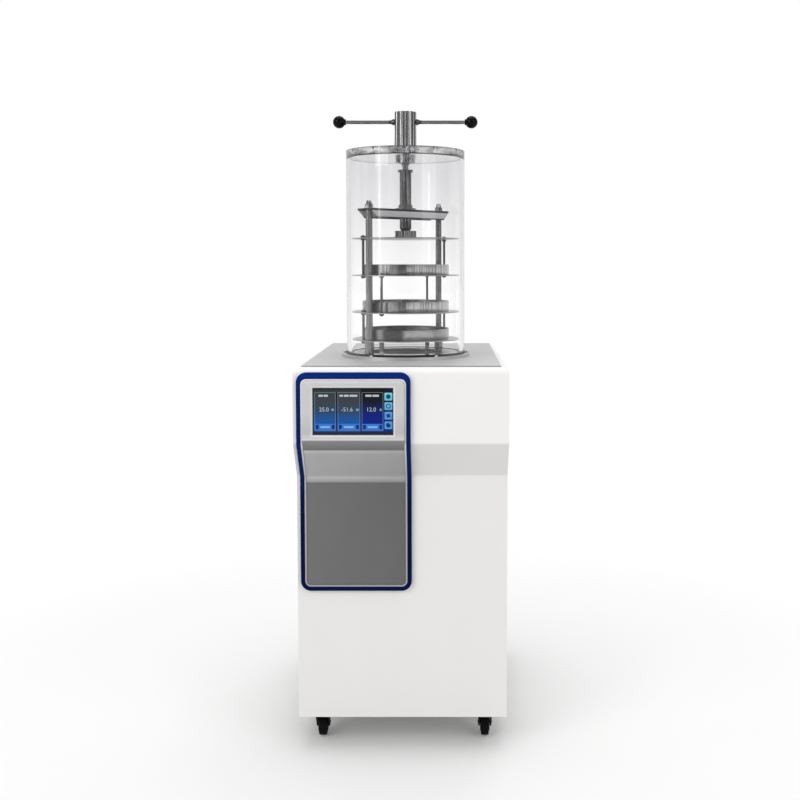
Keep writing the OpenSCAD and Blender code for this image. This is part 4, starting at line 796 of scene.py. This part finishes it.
rearScrews = {
    "Head Radius": 3.4 * mm, "Head Height": 2.2 * mm, "Socket Radius": 1.7 * mm, "Socket Depth": 1.5 * mm,
    "Shank Radius": 2 * mm, "Shank Length": 1 * mm, "Centre": (0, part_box("rear_panel")[1].y, 0.39),
    "Tilt": (math.radians(-90), 0, 0), "Columns": 2, "Rows": 5, "Width": 0.378, "Height": 0.60,
    "Finish": finish["screwSteel"],
}
grow("rear_panel_screws", screwGrid, rearScrews, "cabinet", slotOf["ring_screws"])
print("screws grown")

# the picture on the touch screen, laid out in millimetres from its top left corner
screenLow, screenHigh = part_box("touch_screen")
margin = 4.8 * mm                            # hidden behind the window's edge
window = {"left": screenLow.x + margin, "top": screenHigh.z - margin, "wide": screenHigh.x - screenLow.x - 2 * margin,
          "tall": screenHigh.z - screenLow.z - 2 * margin}
picture = {
    "columns": ((3.7, 42.5), (46.2, 87.1), (90.4, 129.6)), "top": 8.2, "foot": 79.5, "line": 0.7,
    "headers": (((11.0, 19.5), (20.6, 28.5)), ((49.5, 56.0), (57.5, 66.5), (68.0, 82.5)),
                ((97.0, 108.5), (110.0, 122.0))),
    "values": ("25.0", "-51.6", "12.0"), "valueAt": (12.0, 52.5, 98.5),
    "units": ((34.5, 39.5), (79.5, 85.0), (123.0, 127.0)),
    "headerLine": (12.6, 16.4), "unitLine": (38.2, 42.6), "digitFoot": 43.4, "digitHeight": 7.4,
    "buttons": (66.4, 78.0), "buttonInset": 1.2, "ends": (68.2, 76.2), "endWidth": 5.0, "endInset": 2.2,
    "labels": (70.6, 74.0), "labelWidth": 18.0,
    "icons": (9.0, 26.6, 44.2, 61.8), "iconAt": 132.0, "iconSize": 14.2, "iconMark": 4.4,
    "plainFrom": 2.0, "deepFrom": 88.6, "sideFrom": 130.8, "gaps": ((42.9, 45.8), (87.5, 90.0)),
    "fieldTop": 1.2, "fieldMargin": (0.8, 4.5), "dot": 2.8, "badge": (1.5, -5.2, 4.8, -1.8), "badgeCorner": 0.8,
    "corner": {"glowText": 1.0, "glowUnit": 1.2, "glowButton": 1.6, "glowEnd": 1.0, "glowLabel": 1.2, "glowIcon": 1.5},
    "lift": 0.05, "layer": 0.06, "glow": 0.9,
}
# colours down the screen, as shares of its height and red, green and blue from 0 to 255
glows = {
    "glowPlain": ((0, (34, 38, 42)), (0.1, (56, 62, 66)), (0.32, (60, 68, 74)), (0.5, (44, 72, 104)),
                  (0.62, (30, 84, 146)), (0.76, (24, 88, 170)), (0.88, (34, 84, 168)), (0.95, (20, 40, 80))),
    "glowDeep": ((0, (12, 14, 18)), (0.28, (16, 20, 32)), (0.45, (10, 30, 92)), (0.62, (4, 32, 130)),
                 (0.8, (2, 30, 138)), (0.9, (14, 50, 150)), (0.95, (8, 20, 60))),
    "glowSide": ((0, (14, 18, 26)), (0.4, (14, 34, 70)), (0.9, (10, 44, 120)), (1, (8, 16, 34))),
    "glowGap": ((0, (14, 18, 24)), (0.4, (16, 30, 54)), (0.9, (10, 40, 110)), (1, (8, 16, 34))),
    "glowLine": ((0, (128, 140, 142)), (0.5, (110, 140, 172)), (1, (104, 160, 226))),
    "glowText": ((0, (196, 200, 196)), (1, (190, 204, 216))),
    "glowUnit": ((0, (110, 140, 170)), (1, (150, 170, 200))),
    "glowButton": ((0, (60, 128, 205)), (0.84, (56, 124, 208)), (0.93, (70, 120, 214))),
    "glowLabel": ((0, (130, 190, 240)), (1, (128, 190, 246))),
    "glowEnd": ((0, (10, 40, 110)), (1, (12, 40, 116))),
    "glowIcon": ((0, (128, 238, 222)), (0.3, (112, 190, 226)), (0.6, (84, 148, 220)), (0.95, (70, 170, 226))),
    "glowMark": ((0, (10, 96, 104)), (0.35, (16, 60, 104)), (1, (14, 50, 120))),
}


# red, green and blue from 0 to 255 as the shader's linear values
def linear(colour):
    return tuple(c / 3294.6 if c < 10.3 else ((c / 255 + 0.055) / 1.055) ** 2.4 for c in colour)


def makeGlow(name, stops):
    mat, tree, shader = newMaterial(name)
    coord, axes = coordinates(tree)
    ramp = tree.nodes.new("ShaderNodeValToRGB")
    bottom = window["top"] - window["tall"]
    tree.links.new(ranged(tree, axes["Z"], 1, 0, bottom, window["top"]), ramp.inputs["Fac"])
    setStops(ramp, [(place, linear(colour)) for place, colour in stops])
    tree.links.new(ramp.outputs["Color"], shader.inputs["Emission Color"])
    shader.inputs["Emission Strength"].default_value = picture["glow"]
    shader.inputs["Base Color"].default_value = (0.003, 0.003, 0.004, 1)
    shader.inputs["Roughness"].default_value = 0.2
    shader.inputs["Specular IOR Level"].default_value = 0.1
    return mat


for name, stops in glows.items():
    finish[name] = makeGlow(name, stops)


# a point of the picture, in front of the glass by its level
def onScreen(x, y, level):
    lift = picture["lift"] + level * picture["layer"]
    return (window["left"] + x * mm, screenLow.y - lift * mm, window["top"] - y * mm)


# flat shapes in layers, laid out in millimetres on the screen; a look has the same corner radius everywhere
class Sheet:
    def __init__(self):
        self.verts, self.faces, self.looks, self.names = [], [], [], []

    def add(self, outline, level, look):
        if look not in self.names:
            self.names.append(look)
        start = len(self.verts)
        self.verts += [onScreen(x, y, level) for x, y in outline]
        self.faces.append(list(range(start, start + len(outline))))
        self.looks.append(self.names.index(look))

    def block(self, x0, y0, x1, y1, level, look, r=None):
        r = picture["corner"].get(look, 0) if r is None else r
        corners = ((x0 + r, y1 - r, 180), (x1 - r, y1 - r, 90), (x1 - r, y0 + r, 0), (x0 + r, y0 + r, -90))
        turns = [math.radians(a) for a in ((0, -30, -60, -90) if r else (0,))]
        self.add([(cx + r * math.cos(math.radians(a) + t), cy + r * math.sin(math.radians(a) + t))
                  for cx, cy, a in corners for t in turns], level, look)

    def disc(self, x, y, r, level, look, sides=24, turn=0.0):
        turns = [turn - 2 * math.pi * i / sides for i in range(sides)]
        self.add([(x + r * math.cos(t), y + r * math.sin(t)) for t in turns], level, look)

    def outline(self, x0, y0, x1, y1, w, level, look):
        self.block(x0, y0, x1, y0 + w, level, look)
        self.block(x0, y1 - w, x1, y1, level, look)
        self.block(x0, y0 + w, x0 + w, y1 - w, level, look)
        self.block(x1 - w, y0 + w, x1, y1 - w, level, look)


def drawPicture():
    wide, tall = window["wide"] / mm, window["tall"] / mm
    sheet = Sheet()
    beside, below = picture["fieldMargin"]
    fields = (picture["plainFrom"], picture["deepFrom"], picture["sideFrom"], wide - beside)
    for left, right, look in zip(fields, fields[1:], ("glowPlain", "glowDeep", "glowSide")):
        sheet.block(left, picture["fieldTop"], right, tall - below, 0, look)
    for left, right in picture["gaps"]:
        sheet.block(left, picture["top"], right, picture["foot"], 1, "glowGap")
    for i, (left, right) in enumerate(picture["columns"]):
        sheet.outline(left, picture["top"], right, picture["foot"], picture["line"], 1, "glowLine")
        high, low = picture["headerLine"]
        for start, end in picture["headers"][i]:
            sheet.block(start, high, end, low, 1, "glowText")
        (start, end), (high, low) = picture["units"][i], picture["unitLine"]
        sheet.block(start, high, end, low, 1, "glowUnit")
        inset, (high, low) = picture["buttonInset"], picture["buttons"]
        sheet.block(left + inset, high, right - inset, low, 1, "glowButton")
        inset, size, (high, low) = picture["endInset"], picture["endWidth"], picture["ends"]
        for x in (left + inset, right - inset - size):
            sheet.block(x, high, x + size, low, 2, "glowEnd")
        centre, half, (high, low) = (left + right) / 2, picture["labelWidth"] / 2, picture["labels"]
        sheet.block(centre - half, high, centre + half, low, 2, "glowLabel")
    x, size, mark = picture["iconAt"], picture["iconSize"], picture["iconMark"]
    for i, y in enumerate(picture["icons"]):
        sheet.block(x, y, x + size, y + size, 1, "glowIcon")
        cx, cy = x + size / 2, y + size / 2
        sheet.disc(cx, cy, mark, 2, "glowMark", *((4, 0.5) if i == 2 else ()))
        if i == 1:
            sheet.disc(cx, cy, picture["dot"], 3, "glowIcon")
        elif i == 3:
            x0, y0, x1, y1 = picture["badge"]
            sheet.block(cx + x0, cy + y0, cx + x1, cy + y1, 3, "glowIcon", picture["badgeCorner"])
    mesh = bpy.data.meshes.new("screen_picture")
    mesh.from_pydata(sheet.verts, [], sheet.faces)
    for look in sheet.names:
        mesh.materials.append(finish[look])
    mesh.polygons.foreach_set("material_index", sheet.looks)
    piece = bpy.data.objects.new("screen_picture", mesh)
    scene.collection.objects.link(piece)
    hookUp(piece, "cabinet", slotOf["touch_screen"])


capShare = 0.7                               # height of a numeral, as a share of the font's size


# numerals become a mesh before they are placed
def drawNumerals(name, text, x, y, height):
    curve = bpy.data.curves.new(name, "FONT")
    curve.body = text
    curve.size = height / capShare
    curve.resolution_u = 3
    holder = bpy.data.objects.new(name + "_text", curve)
    scene.collection.objects.link(holder)
    mesh = bpy.data.meshes.new_from_object(holder.evaluated_get(bpy.context.evaluated_depsgraph_get()))
    bpy.data.objects.remove(holder)
    for vert in mesh.vertices:
        vert.co = onScreen(x + vert.co.x, y - vert.co.y, 2)
    mesh.materials.clear()
    mesh.materials.append(finish["glowText"])
    piece = bpy.data.objects.new(name, mesh)
    scene.collection.objects.link(piece)
    hookUp(piece, "cabinet", slotOf["touch_screen"])


drawPicture()
for i, text in enumerate(picture["values"]):
    drawNumerals("screen_value_%d" % (i + 1), text, picture["valueAt"][i], picture["digitFoot"],
                 picture["digitHeight"])
print("screen drawn")
